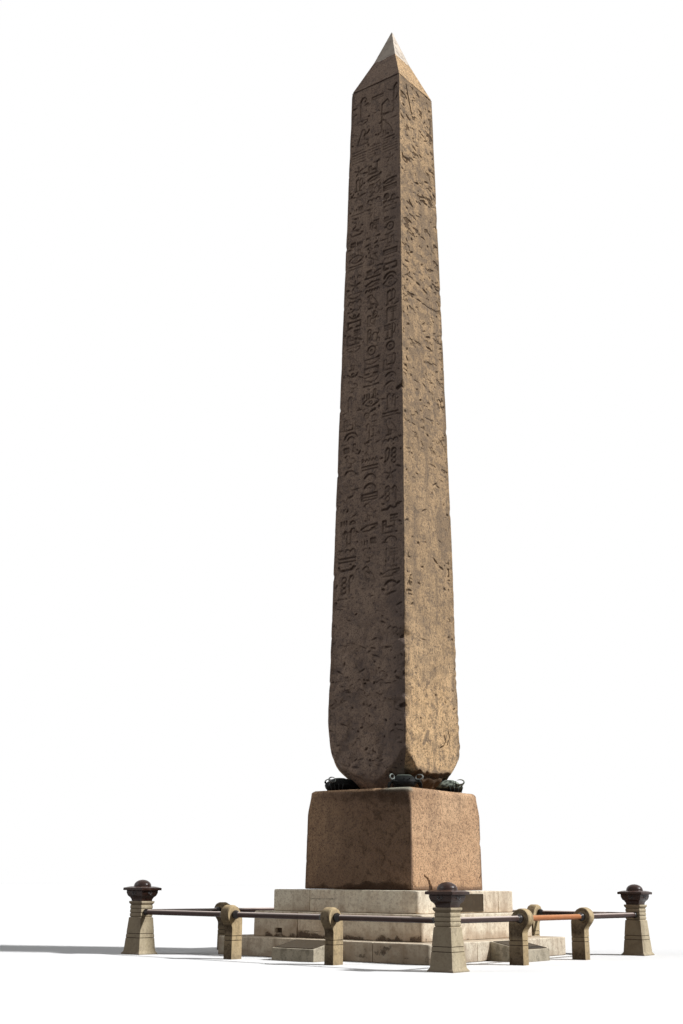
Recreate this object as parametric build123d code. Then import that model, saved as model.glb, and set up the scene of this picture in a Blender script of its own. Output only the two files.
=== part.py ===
from build123d import *
import math
import os

# An obelisk on its pedestal and steps, with the railing and desks that belong to it.
# Origin at the middle of the ground under it. +Z is up, and -Y is the front.

# Shaft: one granite block that tapers to a small pyramid
shaft_total_height = 21180
shaft_base_width = 2360
shaft_top_width = 1608
pyramid_height = 2146
pyramid_break_height = 1074
pyramid_break_width = 724
pyramid_tip_width = 36
# The broken lower corners follow a bowl with flat sides, which has worn more at the front left
bowl_sides = 32
bowl_offset = 28
bowl_top_radius = 1690
bowl_top_height = 1200
# Height above the foot of the shaft, and radius there
bowl_stations = (
    (0, 1020),
    (120, 1120),
    (300, 1240),
    (450, 1330),
    (600, 1430),
    (800, 1530),
    (bowl_top_height, bowl_top_radius),
)
# The lower edge of the right face has broken away
spall_depth = 180
spall_height = 380
spall_middle_depth = 95
spall_middle_height = 205

# Pedestal: one granite block
pedestal_height = 2212
pedestal_bottom_width = 2973
pedestal_top_width = 2896
pedestal_corner = 60
# Its worn top: depth below the top, how much narrower than the straight sides, and the corner cut
pedestal_wear = (
    (430, 0, 80),
    (180, 14, 130),
    (60, 64, 200),
    (0, 150, 250),
)

# Three courses of steps, from the ground up
bottom_step_height = 400
middle_step_height = 542
top_step_height = 474
bottom_step_width = 5755
middle_step_width = 4613
top_step_width = 3989
step_arris_radius = 70
step_worn_edge = 14
# Joints between the stones, measured from the middle of the course
top_joint_x = -912
top_joint_y = 1313
middle_joint_x = -1002
middle_joint_y = 310
bottom_joint_x = 1472
bottom_joint_y = 240
infill_near_joint_y = -1076
infill_far_joint_y = -591
# The old square socket in the front of the middle course
socket_middle_x = -1538
socket_width = 188
socket_height = 106
socket_depth = 120
socket_above_bed = 80

# Bronze crabs under the corners of the shaft
crab_radius = 1415
crab_body_length = 500
crab_body_width = 560
crab_body_height = 300
# The body at five levels: shares of its height, length and width, and how far back it leans
crab_levels = (
    (0, 0.66, 0.62, 0),
    (0.22, 0.88, 0.86, 0),
    (0.45, 1, 1, 0),
    (0.62, 0.97, 0.95, 0.03),
    (0.84, 0.84, 0.78, 0.12),
)
crab_clearance = 20
crab_seat_length = 270
crab_seat_width = 320
crab_sides = 14
claw_spread = 318
claw_reach = 60
claw_height = 262
claw_ring_radius = 72
claw_arm_thickness = 56
claw_tip_thickness = 14
limb_sides = 5
leg_thickness = 46
leg_tip_thickness = 18
leg_spread = 372
knee_spread = 325
knee_height = 168
hip_spread = 190
hip_height = 120
legs_on_a_side = 4
legs_length = 310
feet_length = 248
shoulder_spread = 146
shoulder_height = 138

# Railing: four corner piers with metal caps, eight ring posts, and pipes between them
rail_line = 4135.5
rail_height = 896
rail_radius = 57
rail_sides = 12
rail_clearance = 0.3
rail_end_gap = 4
collar_length = 125
collar_radius = 92
pier_collar_radius = 72
# A collar along its length: shares of the length and of the radius
collar_swell = ((0, 0.86), (0.24, 1), (0.52, 1))
pier_line = 4085.5
pier_foot_width = 576
pier_foot_height = 40
pier_base_width = 500
pier_shoulder_width = 388
pier_shoulder_level = 776
pier_neck_width = 340
pier_neck_level = 792
pier_ledge_width = 408
pier_ledge_height = 40
pier_height = 1130
pier_roll_count = 3
pier_roll_pitch = 84
pier_roll_bulge = 12
pier_roll_edge = 24
rail_socket_depth = 60
pier_groove_levels = (350, 440)
cap_foot_width = 332
cap_throat_width = 492
cap_throat_height = 172
# The flare of the throat: shares of its height, and of the way out from foot to top
cap_flare = ((0.28, 0.09), (0.45, 0.28), (0.67, 0.74))
cap_shelf_width = 500
cap_shelf_height = 58
cap_plate_width = 612
cap_plate_height = 55
cap_slope_height = 32
cap_dome_radius = 198
cap_dome_height = 144
cap_dome_sides = 18
cap_dome_bands = 3
post_spacing = 2697
post_width = 326
post_thickness = 226
post_batter = 6
post_shoulder_level = 760
post_ring_offset = 120
post_ring_radius = 195
post_ring_thickness = 230
post_ring_rim_depth = 42
post_ring_sides = 18
post_hub_radius = 106
post_hub_height = 12
post_scroll_level = 600
post_groove_levels = (378, 468)
groove_width = 12
groove_depth = 8

# Low sloping desks that lean against the steps, each with a bare bronze tablet
desk_width = 1120
desk_reach = 797
desk_front_height = 243
desk_back_height = 392
tablet_margin = 45
tablet_thickness = 14

# Levels and places that follow from the sizes above
middle_step_level = bottom_step_height
top_step_level = middle_step_level + middle_step_height
pedestal_level = top_step_level + top_step_height
shaft_level = pedestal_level + pedestal_height
shaft_body_height = shaft_total_height - pyramid_height
shaft_slope = (shaft_base_width - shaft_top_width) / 2 / shaft_body_height
crab_inner_end = crab_radius - crab_body_length / 2
post_line = rail_line - post_ring_offset
ring_face = post_ring_thickness / 2 + post_hub_height
pier_neck_face = pier_line - pier_neck_width / 2 - pier_roll_bulge
rail_end = pier_neck_face + rail_socket_depth
corner_names = ("front_right", "back_right", "back_left", "front_left")
side_names = ("front", "right", "back", "left")


def square_turned(half_profile):
    """A square block whose four sides follow one moulded profile, mitred at the corners."""
    reach = half_profile.bounding_box().max.X
    whole = half_profile + mirror(half_profile, Plane.YZ)
    moulded_both_ways = extrude(whole, 1.5 * reach, both=True)
    return moulded_both_ways & (Rot(0, 0, 90) * moulded_both_ways)


def skinned(rings):
    """A solid skinned with flat faces over rings of points, each ring with as many points."""
    faces = [Face(Wire.make_polygon(rings[0])), Face(Wire.make_polygon(rings[-1]))]
    for near, far in zip(rings, rings[1:]):
        for number in range(len(near)):
            faces.append(Face(Wire.make_polygon([near[number - 1], near[number], far[number]])))
            faces.append(Face(Wire.make_polygon([near[number - 1], far[number], far[number - 1]])))
    return Solid(Shell(faces)).clean()


def turned(axis_plane, stations, sides):
    """A turned solid with flat sides, through stations of distance and radius along an axis."""
    turns = [2 * math.pi * (side + 0.5) / sides for side in range(sides)]
    corner = 1 / math.cos(math.pi / sides)
    rings = []
    for distance, radius in stations:
        points = [(radius * corner * math.cos(turn), radius * corner * math.sin(turn)) for turn in turns]
        rings.append([axis_plane.from_local_coords(Vector(x, y, distance)) for x, y in points])
    return skinned(rings)


def square_block(levels):
    """A square block with flat sides, through levels of height and width."""
    rings = []
    for height, width in levels:
        half = width / 2
        corners = ((half, -half), (half, half), (-half, half), (-half, -half))
        rings.append([Vector(x, y, height) for x, y in corners])
    return skinned(rings)


def worn_block(levels):
    """A square block with cut corners, through levels of height, width and corner cut."""
    rings = []
    for height, width, corner in levels:
        half = width / 2
        near = half - corner
        side = (Vector(half, -near, height), Vector(half, near, height))
        rings.append([point.rotate(Axis.Z, 90 * turn) for turn in range(4) for point in side])
    return skinned(rings)


def turned_to_side(piece, side):
    """A piece made for the front, turned to the side with that number."""
    return Rot(0, 0, 90 * side) * piece


def obelisk_shaft():
    pyramid_level = shaft_level + shaft_body_height
    levels = (
        (shaft_level, shaft_base_width),
        (pyramid_level, shaft_top_width),
        (pyramid_level + pyramid_break_height, pyramid_break_width),
        (shaft_level + shaft_total_height, pyramid_tip_width),
    )
    return (square_block(levels) & shaft_bowl()) - right_face_spall() - crab_seats()


def shaft_bowl():
    """The rough bowl that the broken lower corners of the shaft follow."""
    outside = bowl_top_radius + shaft_base_width / 2
    above = ((bowl_top_height, outside), (shaft_total_height + bowl_top_height, outside))
    axis_plane = Plane(origin=(bowl_offset, bowl_offset, shaft_level))
    return turned(axis_plane, bowl_stations + above, bowl_sides)


def right_face_spall():
    """What has broken away along the lower edge of the right face."""
    face = shaft_base_width / 2
    inner = (face - spall_depth, 0)
    middle = (face - spall_middle_depth, spall_middle_height)
    outer = (face - shaft_slope * spall_height, spall_height)
    beyond = face + spall_depth
    below = -spall_depth
    outside = ((beyond, spall_height), (beyond, below), (inner[0], below))
    outline = make_face(Polyline(inner, middle, outer, *outside, close=True))
    return Pos(0, 0, shaft_level) * extrude(Plane.XZ * outline, shaft_base_width, both=True)


def crab_seats():
    """The flat seats in the lower corners, where the shaft rests on the crabs."""
    inner = crab_inner_end - crab_clearance
    length = bowl_top_radius + crab_clearance - inner
    middle = Pos(inner + length / 2, 0, shaft_level + crab_body_height / 2)
    seat = middle * Box(length, 2 * bowl_top_radius, crab_body_height)
    return [Rot(0, 0, 45 + 90 * corner) * seat for corner in range(4)]


def pedestal():
    """The tapered pedestal, with its corners and its top edge worn round."""
    taper = (pedestal_bottom_width - pedestal_top_width) / pedestal_height
    levels = [(pedestal_level, pedestal_bottom_width, pedestal_corner)]
    for depth, narrower, corner in pedestal_wear:
        levels.append((shaft_level - depth, pedestal_top_width + taper * depth - narrower, corner))
    return worn_block(levels)


def crab():
    """One bronze crab with its head outward along +X and its feet at height 0."""
    body = carapace()
    for hand in (1, -1):
        body += claw(hand)
        for number in range(legs_on_a_side):
            body += leg(hand, number)
    below = Box(4 * leg_spread, 4 * leg_spread, 2 * crab_body_height)
    return body - Pos(crab_radius, 0, -crab_body_height) * below


def carapace():
    """The domed body, whose flat top is the seat that carries the shaft."""
    length = crab_body_length / 2
    width = crab_body_width / 2
    seat_middle = crab_inner_end + crab_clearance + crab_seat_length / 2
    sections = [
        (crab_body_height * rise, crab_radius - length * back, length * long, width * wide)
        for rise, long, wide, back in crab_levels
    ]
    sections.append((crab_body_height, seat_middle, crab_seat_length / 2, crab_seat_width / 2))
    turns = [2 * math.pi * (side + 0.5) / crab_sides for side in range(crab_sides)]
    return skinned([
        [Vector(middle + long * math.cos(turn), wide * math.sin(turn), height) for turn in turns]
        for height, middle, long, wide in sections
    ])


def limb(points, widths):
    """A bent limb with flat sides, as wide at each of its points as the width given for it."""
    turns = [2 * math.pi * (side + 0.5) / limb_sides for side in range(limb_sides)]
    rings = []
    for number, (point, width) in enumerate(zip(points, widths)):
        before = points[max(number - 1, 0)]
        after = points[min(number + 1, len(points) - 1)]
        cut = Plane(origin=point, x_dir=(1, 0, 0), z_dir=Vector(*after) - Vector(*before))
        corners = [(width / 2 * math.cos(turn), width / 2 * math.sin(turn)) for turn in turns]
        rings.append([cut.from_local_coords(Vector(x, y, 0)) for x, y in corners])
    return skinned(rings)


def claw(hand):
    """A raised arm that ends in two curved fingers, which all but close to a ring."""
    middle_x = crab_radius + claw_reach

    def on_ring(angle):
        across = claw_spread + claw_ring_radius * math.cos(math.radians(angle))
        height = claw_height + claw_ring_radius * math.sin(math.radians(angle))
        return (middle_x, hand * across, height)

    shoulder = (crab_radius + claw_reach / 2, hand * shoulder_spread, shoulder_height)
    arm = claw_arm_thickness
    tip = claw_tip_thickness
    outer = [shoulder] + [on_ring(angle) for angle in (-95, -50, -10, 30, 72, 112)]
    inner = [on_ring(angle) for angle in (-75, -130, -172, -208)]
    outer_finger = limb(outer, (arm, arm, arm * 0.94, arm * 0.86, arm * 0.72, arm * 0.50, tip))
    inner_finger = limb(inner, (arm * 0.70, arm * 0.62, arm * 0.46, tip))
    return outer_finger + inner_finger


def leg(hand, number):
    """A walking leg, out and up to its knee, then down to a pointed foot."""
    along = number / (legs_on_a_side - 1) - 0.5
    hip = (crab_radius + along * legs_length, hand * hip_spread, hip_height)
    knee = (crab_radius + along * legs_length, hand * knee_spread, knee_height)
    foot = (crab_radius + along * feet_length, hand * leg_spread, -leg_tip_thickness)
    return limb((hip, knee, foot), (leg_thickness, leg_thickness, leg_tip_thickness))


def course(width, level, height):
    """A whole course of steps, with worn outer corners and top edges, before it is cut into stones."""
    block = extrude(Pos(0, 0, level) * Rectangle(width, width), height)
    block = fillet(block.edges().filter_by(Axis.Z), step_arris_radius)
    return chamfer(block.edges().group_by(Axis.Z)[-1], step_worn_edge)


def stone(block, left, right, near, far):
    """The stone of a course that lies between two joints each way."""
    box = block.bounding_box()
    cutter = Box(right - left, far - near, 3 * (box.max.Z - box.min.Z))
    return block & Pos((left + right) / 2, (near + far) / 2, box.min.Z) * cutter


def step_stones():
    """Every stone of the three courses, by name."""
    stones = {}
    edge = bottom_step_width
    bottom = course(bottom_step_width, 0, bottom_step_height)
    stones["bottom_step_front_stone"] = stone(bottom, -edge, bottom_joint_x, -edge, bottom_joint_y)
    stones["bottom_step_back_stone"] = stone(bottom, -edge, bottom_joint_x, bottom_joint_y, edge)
    stones["bottom_step_corner_stone"] = stone(bottom, bottom_joint_x, edge, -edge, infill_near_joint_y)
    infill = stone(bottom, bottom_joint_x, edge, infill_near_joint_y, infill_far_joint_y)
    stones["bottom_step_infill_stone"] = infill
    stones["bottom_step_right_stone"] = stone(bottom, bottom_joint_x, edge, infill_far_joint_y, edge)
    middle = course(middle_step_width, middle_step_level, middle_step_height)
    left_front = stone(middle, -edge, middle_joint_x, -edge, middle_joint_y)
    stones["middle_step_left_front_stone"] = left_front - old_socket()
    stones["middle_step_left_back_stone"] = stone(middle, -edge, middle_joint_x, middle_joint_y, edge)
    stones["middle_step_right_stone"] = stone(middle, middle_joint_x, edge, -edge, edge)
    top = course(top_step_width, top_step_level, top_step_height)
    stones["top_step_left_stone"] = stone(top, -edge, top_joint_x, -edge, edge)
    stones["top_step_right_stone"] = stone(top, top_joint_x, edge, -edge, top_joint_y)
    stones["top_step_back_stone"] = stone(top, top_joint_x, edge, top_joint_y, edge)
    return stones


def old_socket():
    """The square hole for a lost clamp in the front of the middle course."""
    level = middle_step_level + socket_above_bed + socket_height / 2
    hole = Box(socket_width, 2 * socket_depth, socket_height)
    return Pos(socket_middle_x, -middle_step_width / 2, level) * hole


def pier_profile():
    """Half the outline of a corner pier: flared foot, battered sides, rolled neck and ledge."""
    neck = pier_neck_width / 2
    foot = pier_foot_width / 2
    base = pier_base_width / 2
    shoulder = pier_shoulder_width / 2
    ledge = pier_ledge_width / 2
    base_level = 2 * pier_foot_height
    ledge_level = pier_height - pier_ledge_height
    batter = (base - shoulder) / (pier_shoulder_level - base_level)
    outline = Polyline((0, pier_height), (0, 0), (foot, 0), (foot, pier_foot_height / 2))
    dip = ((foot + base) / 2 - pier_foot_height / 8, pier_foot_height * 1.1)
    outline += Polyline((foot, pier_foot_height / 2), dip, (base, base_level))
    corner = (base, base_level)
    for level in pier_groove_levels:
        low = level - groove_width / 2
        high = level + groove_width / 2
        low_side = base - batter * (low - base_level)
        high_side = base - batter * (high - base_level)
        bottom = (low_side - groove_depth, low)
        top = (low_side - groove_depth, high)
        outline += Polyline(corner, (low_side, low), bottom, top, (high_side, high))
        corner = (high_side, high)
    outline += Polyline(corner, (shoulder, pier_shoulder_level), (neck, pier_neck_level))
    for roll in range(pier_roll_count):
        low = pier_neck_level + roll * pier_roll_pitch
        high = low + pier_roll_pitch
        crest = neck + pier_roll_bulge
        crest_low = (crest, low + pier_roll_edge)
        crest_high = (crest, high - pier_roll_edge)
        outline += Polyline((neck, low), crest_low, crest_high, (neck, high))
    top_roll = (neck, pier_neck_level + pier_roll_count * pier_roll_pitch)
    outline += Polyline(top_roll, (ledge, ledge_level), (ledge, pier_height), (0, pier_height))
    return make_face(outline)


def corner_pier():
    """The pier on the front right corner, with a socket for the end of each rail that meets it."""
    pier = square_turned(Plane.XZ * pier_profile())
    offset_out = rail_line - pier_line
    end = rail_end - pier_line
    length = pier_line - rail_end + pier_foot_width
    hole = rail_hole(end - length, end)
    front_hole = Pos(0, -offset_out, rail_height) * hole
    right_hole = Pos(offset_out, 0, rail_height) * (Rot(0, 0, -90) * hole)
    return Pos(pier_line, -pier_line, 0) * (pier - front_hole - right_hole)


def rail_hole(start, end):
    """A hole along X that takes the end of a rail."""
    radius = rail_radius + rail_clearance
    return turned(Plane.YZ, ((start, radius), (end, radius)), rail_sides)


def pier_cap():
    """The metal cap of a pier: flaring throat, square plate and low dome."""
    foot = cap_foot_width / 2
    throat = cap_throat_width / 2
    shelf = cap_shelf_width / 2
    plate = cap_plate_width / 2
    shelf_level = cap_throat_height + cap_shelf_height
    plate_level = shelf_level + cap_plate_height
    dome_level = plate_level + cap_slope_height
    flare = [(foot + (throat - foot) * out, cap_throat_height * rise) for rise, out in cap_flare]
    outline = Polyline(
        (0, 0),
        (foot, 0),
        *flare,
        (throat, cap_throat_height),
        (shelf, cap_throat_height),
        (shelf, shelf_level),
        (plate, shelf_level),
        (plate, plate_level),
        (cap_dome_radius, dome_level),
        (0, dome_level),
        close=True,
    )
    square_part = square_turned(Plane.XZ * make_face(outline))
    rises = [math.radians(80) * band / cap_dome_bands for band in range(cap_dome_bands + 1)]
    rise_scale = cap_dome_height / math.sin(rises[-1])
    stations = [
        (dome_level + rise_scale * math.sin(rise), cap_dome_radius * math.cos(rise)) for rise in rises
    ]
    dome = turned(Plane.XY, stations, cap_dome_sides)
    return Pos(pier_line, -pier_line, pier_height) * (square_part + dome)


def ring_post():
    """A ring post of the front side: a battered stem whose head leans outward and holds the rail."""
    inner = -post_width / 2
    outer = post_width / 2
    ring = (post_ring_offset, rail_height)
    across = Plane(origin=(0, -post_line, 0), x_dir=(0, -1, 0), z_dir=(-1, 0, 0))
    tangent = Vector(*ring) + Vector(post_ring_radius, 0).rotate(Axis.Z, 124)
    underside = Vector(*ring) + Vector(post_ring_radius, 0).rotate(Axis.Z, -48)
    shoulder = (inner + post_batter, post_shoulder_level)
    bulge = (shoulder[0] * 0.64 + tangent.X * 0.36, shoulder[1] * 0.36 + tangent.Y * 0.64)
    scroll = (outer - post_batter, post_scroll_level)
    hollow = (scroll[0] * 0.78 + underside.X * 0.22, (scroll[1] + underside.Y) / 2)
    back = [shoulder, bulge, (tangent.X, tangent.Y)]
    front = [(underside.X, underside.Y), hollow, scroll]
    outline = Polyline(*back, ring, *front, (outer, 0), (inner, 0), close=True)
    stem = extrude(across * make_face(outline), post_thickness / 2, both=True)
    half = post_ring_thickness / 2
    rim = post_ring_rim_depth
    face = post_ring_radius - rim
    edge = post_ring_radius - rim * 0.3
    stations = ((-half, face), (rim * 0.3 - half, edge), (rim - half, post_ring_radius))
    stations += tuple((-distance, radius) for distance, radius in reversed(stations))
    head = turned(Plane.YZ, stations, post_ring_sides)
    head += turned(Plane.YZ, ((-ring_face, post_hub_radius), (ring_face, post_hub_radius)), rail_sides)
    seat = Pos(0, -rail_line, rail_height)
    post = stem + seat * head - seat * rail_hole(-post_ring_thickness, post_ring_thickness)
    return post - [post_groove(level) for level in post_groove_levels]


def post_groove(level):
    """A shallow groove round the stem of a ring post."""
    side = post_width - 2 * post_batter * level / post_shoulder_level
    frame = Box(2 * post_thickness, 2 * post_width, groove_width)
    core = Box(post_thickness - 2 * groove_depth, side - 2 * groove_depth, groove_width)
    return Pos(0, -post_line, level) * (frame - core)


def collar(radius):
    """Distance and radius along a collar of that size, from the stone to where the pipe is bare."""
    length = collar_length * radius / collar_radius
    swell = [(length * along, radius * share) for along, share in collar_swell]
    return swell + [(length, rail_radius)]


def pipe(start, end, start_stone, end_stone, end_collar_radius):
    """One length of pipe along X, with a swelling collar where it meets the stone at each end."""
    stations = [(start, rail_radius), (start_stone, rail_radius)]
    stations += [(start_stone + distance, radius) for distance, radius in collar(collar_radius)]
    end_collar = reversed(collar(end_collar_radius))
    stations += [(end_stone - distance, radius) for distance, radius in end_collar]
    return turned(Plane.YZ, stations + [(end_stone, rail_radius), (end, rail_radius)], rail_sides)


def rail():
    """The three lengths of pipe along the front, from pier to ring to ring to pier."""
    ring = post_spacing / 2
    pier = pier_neck_face - rail_clearance
    gap = rail_end_gap / 2
    middle = pipe(gap - ring, ring - gap, ring_face - ring, ring - ring_face, collar_radius)
    right = pipe(ring + gap, rail_end, ring + ring_face, pier, pier_collar_radius)
    left = mirror(right, Plane.YZ)
    return [Pos(0, -rail_line, rail_height) * length for length in (left, middle, right)]


def desk():
    """The front desk, whose back stands against the bottom step."""
    back = -bottom_step_width / 2
    front = back - desk_reach
    top = ((front, desk_front_height), (back, desk_back_height))
    outline = Polyline((back, 0), (front, 0), *top, close=True)
    return extrude(Plane.YZ * make_face(outline), desk_width / 2, both=True)


def tablet():
    """The bare bronze tablet that lies on the sloping top of the front desk."""
    rise = desk_back_height - desk_front_height
    slope_length = math.hypot(desk_reach, rise)
    middle_y = -bottom_step_width / 2 - desk_reach / 2
    middle_z = (desk_front_height + desk_back_height) / 2
    slope = Plane(origin=(0, middle_y, middle_z), x_dir=(1, 0, 0), z_dir=(0, -rise, desk_reach))
    outline = Rectangle(desk_width - 2 * tablet_margin, slope_length - 2 * tablet_margin)
    return extrude(slope * outline, tablet_thickness)


def all_parts():
    """Every piece in its place, by name."""
    parts = {"obelisk_shaft": obelisk_shaft(), "pedestal": pedestal()}
    parts.update(step_stones())
    one_crab = crab()
    one_pier = corner_pier()
    one_cap = pier_cap()
    for corner, name in enumerate(corner_names):
        parts["crab_" + name] = Pos(0, 0, shaft_level) * Rot(0, 0, 90 * corner - 45) * one_crab
        parts["corner_pier_" + name] = turned_to_side(one_pier, corner)
        parts["pier_cap_" + name] = turned_to_side(one_cap, corner)
    one_post = ring_post()
    one_rail = rail()
    one_desk = desk()
    one_tablet = tablet()
    for side, name in enumerate(side_names):
        for number, place in enumerate((-post_spacing / 2, post_spacing / 2), start=1):
            parts[f"ring_post_{name}_{number}"] = turned_to_side(Pos(place, 0, 0) * one_post, side)
        parts["rail_" + name] = Compound([turned_to_side(length, side) for length in one_rail])
        parts["desk_" + name] = turned_to_side(one_desk, side)
        parts["desk_tablet_" + name] = turned_to_side(one_tablet, side)
    return parts


os.makedirs("parts", exist_ok=True)
for node, solid in all_parts().items():
    export_step(solid, f"parts/{node}.step")
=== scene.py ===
import math
import bmesh
import bpy
import numpy as np
from mathutils import Matrix, Vector


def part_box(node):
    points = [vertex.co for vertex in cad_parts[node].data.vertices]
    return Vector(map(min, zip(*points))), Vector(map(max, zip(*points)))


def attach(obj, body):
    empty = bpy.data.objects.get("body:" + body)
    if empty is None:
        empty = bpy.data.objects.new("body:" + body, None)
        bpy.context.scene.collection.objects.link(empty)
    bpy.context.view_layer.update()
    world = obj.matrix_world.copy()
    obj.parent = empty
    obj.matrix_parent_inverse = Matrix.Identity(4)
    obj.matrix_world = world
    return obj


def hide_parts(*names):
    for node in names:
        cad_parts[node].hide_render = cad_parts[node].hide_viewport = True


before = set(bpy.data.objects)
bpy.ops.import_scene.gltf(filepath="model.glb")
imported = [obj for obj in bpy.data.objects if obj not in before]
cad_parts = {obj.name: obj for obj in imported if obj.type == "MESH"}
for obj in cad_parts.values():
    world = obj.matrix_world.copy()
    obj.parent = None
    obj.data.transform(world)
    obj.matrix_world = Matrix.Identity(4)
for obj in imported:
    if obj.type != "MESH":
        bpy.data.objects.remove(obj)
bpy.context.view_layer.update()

# The view is from eye height on the ground, off the corner where the front and the right side meet.
# The lens is long enough to take in the whole shaft, and the camera is tipped up towards its top.
eye = Vector((17.4547, -24.7747, 1.5307))
heading, upward, lean = -0.6570, 0.2892, 0.0091
forward = Vector((
    math.sin(heading) * math.cos(upward), math.cos(heading) * math.cos(upward), math.sin(upward)
))
level_right = Vector((math.cos(heading), -math.sin(heading), 0.0))
level_up = level_right.cross(forward)
right = level_right * math.cos(lean) + level_up * math.sin(lean)
up = level_up * math.cos(lean) - level_right * math.sin(lean)
lens = bpy.data.cameras.new("view_camera")
lens.sensor_width = 36.0
lens.lens = 43.975
lens.clip_end = 500.0
camera = bpy.data.objects.new("view_camera", lens)
bpy.context.collection.objects.link(camera)
camera.matrix_world = Matrix((
    (right.x, up.x, -forward.x, eye.x),
    (right.y, up.y, -forward.y, eye.y),
    (right.z, up.z, -forward.z, eye.z),
    (0.0, 0.0, 0.0, 1.0),
))
bpy.context.scene.camera = camera
bpy.context.scene.view_settings.view_transform = "Standard"

# One soft key lamp stands high to the right and a little behind, and a weak one to the left. The
# surround and the floor are pale to the eye and darker to the light that they throw back, as dull
# ground is, so that the shaded sides stay in shade.
def add(tree, kind, sockets=None, **settings):
    """One node, with its inputs given as values or as the outputs that feed them."""
    made = tree.nodes.new(kind if "Node" in kind else "ShaderNode" + kind)
    for name, value in settings.items():
        setattr(made, name, value)
    for socket, value in (sockets or {}).items():
        if isinstance(value, bpy.types.NodeSocket):
            tree.links.new(value, made.inputs[socket])
        else:
            made.inputs[socket].default_value = value
    return made


def maths(tree, operation, *values):
    """The result of one operation on numbers."""
    return add(tree, "Math", dict(enumerate(values)), operation=operation).outputs[0]


def lamp(name, strength, spread, towards):
    """A lamp as far off as the sun, which shines the given way."""
    light = bpy.data.lights.new(name, "SUN")
    light.energy = strength
    light.angle = math.radians(spread)
    stand = bpy.data.objects.new(name, light)
    stand.rotation_mode = "QUATERNION"
    stand.rotation_quaternion = Vector(towards).to_track_quat("-Z", "Y")
    bpy.context.collection.objects.link(stand)


def seen_directly(tree):
    """1 for what is seen, also in a mirror or through glass, and 0 for light that is thrown back."""
    path = add(tree, "LightPath").outputs
    seen = path["Is Camera Ray"]
    for ray in ("Is Transmission Ray", "Is Glossy Ray"):
        seen = maths(tree, "MAXIMUM", seen, path[ray])
    return seen


def finish(name):
    """A new material, with its nodes and its shader."""
    made = bpy.data.materials.new(name)
    made.use_nodes = True
    return made, made.node_tree, made.node_tree.nodes["Principled BSDF"]


lamp("key_lamp", 4.15, 4.0, (-0.66, -0.38, -0.66))
lamp("fill_lamp", 0.78, 32.0, (0.52, 0.62, -0.58))
surround = bpy.data.worlds.new("studio")
bpy.context.scene.world = surround
surround.use_nodes = True
sky = surround.node_tree
sky.nodes.clear()
shade_fill = add(sky, "Background", {"Color": (0.92, 0.96, 1.0, 1.0), "Strength": 0.11}).outputs[0]
white = add(sky, "Background", {"Color": (1.0, 1.0, 1.0, 1.0), "Strength": 1.0}).outputs[0]
shown = add(sky, "MixShader", {0: seen_directly(sky), 1: shade_fill, 2: white}).outputs[0]
add(sky, "OutputWorld", {"Surface": shown})

floor_finish, tree, shader = finish("pale_floor")
dull_ground, pale_ground = (0.13, 0.12, 0.11, 1.0), (0.93, 0.93, 0.93, 1.0)
floor_colour = add(tree, "Mix", {0: seen_directly(tree), 6: dull_ground, 7: pale_ground}, data_type="RGBA")
tree.links.new(floor_colour.outputs[2], shader.inputs["Base Color"])
shader.inputs["Roughness"].default_value = 0.9
shader.inputs["Specular IOR Level"].default_value = 0.1
floor_mesh = bpy.data.meshes.new("floor")
reach = 400.0
floor_corners = [(-reach, -reach, 0.0), (reach, -reach, 0.0), (reach, reach, 0.0), (-reach, reach, 0.0)]
floor_mesh.from_pydata(floor_corners, [], [(0, 1, 2, 3)])
floor_mesh.materials.append(floor_finish)
floor = bpy.data.objects.new("floor", floor_mesh)
bpy.context.collection.objects.link(floor)

# The shaft is one block of red granite, cut square and tapered, with signs carved in three columns
# down each side. Two sides are worn and pitted, and the foot has lost its corners to a rough bowl.
shaft_foot = 3.628
shaft_neck = 22.66
foot_half = 1.18
neck_half = 0.804
carved_depth = 0.028
rows = 776
columns = 92
# Carving is worked out as the distance outside it, and this far out a place is left as it is
uncut = 0.06


def ease(value, low, high):
    """0 below low, 1 above high, and a smooth rise between."""
    part = np.clip((value - low) / (high - low), 0.0, 1.0)
    return part * part * (3.0 - 2.0 * part)


def patches(x, y, size, seed):
    """Smooth random patches from 0 to 1, about as wide as size."""
    table = np.random.default_rng(seed).random((256, 256))
    x, y = np.broadcast_arrays(np.asarray(x, float) / size, np.asarray(y, float) / size)
    left, low = np.floor(x).astype(int), np.floor(y).astype(int)
    across, rise = x - left, y - low
    across = across * across * (3 - 2 * across)
    rise = rise * rise * (3 - 2 * rise)
    a, b = table[left % 256, low % 256], table[(left + 1) % 256, low % 256]
    c, d = table[left % 256, (low + 1) % 256], table[(left + 1) % 256, (low + 1) % 256]
    return (a * (1 - across) + b * across) * (1 - rise) + (c * (1 - across) + d * across) * rise


def rough(x, y, size, seed, layers=3):
    """Patches within patches, from -1 to 1."""
    total, weight, share = 0.0, 0.0, 1.0
    for layer in range(layers):
        total = total + share * (2 * patches(x, y, size / 2 ** layer, seed + layer) - 1)
        weight += share
        share *= 0.55
    return total / weight


def arc(x, y, radius, start, end, steps=9, squash=1.0):
    """Points along an arc, for a curved stroke."""
    turns = np.radians(np.linspace(start, end, steps))
    return [(x + radius * math.cos(t), y + squash * radius * math.sin(t)) for t in turns]


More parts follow.
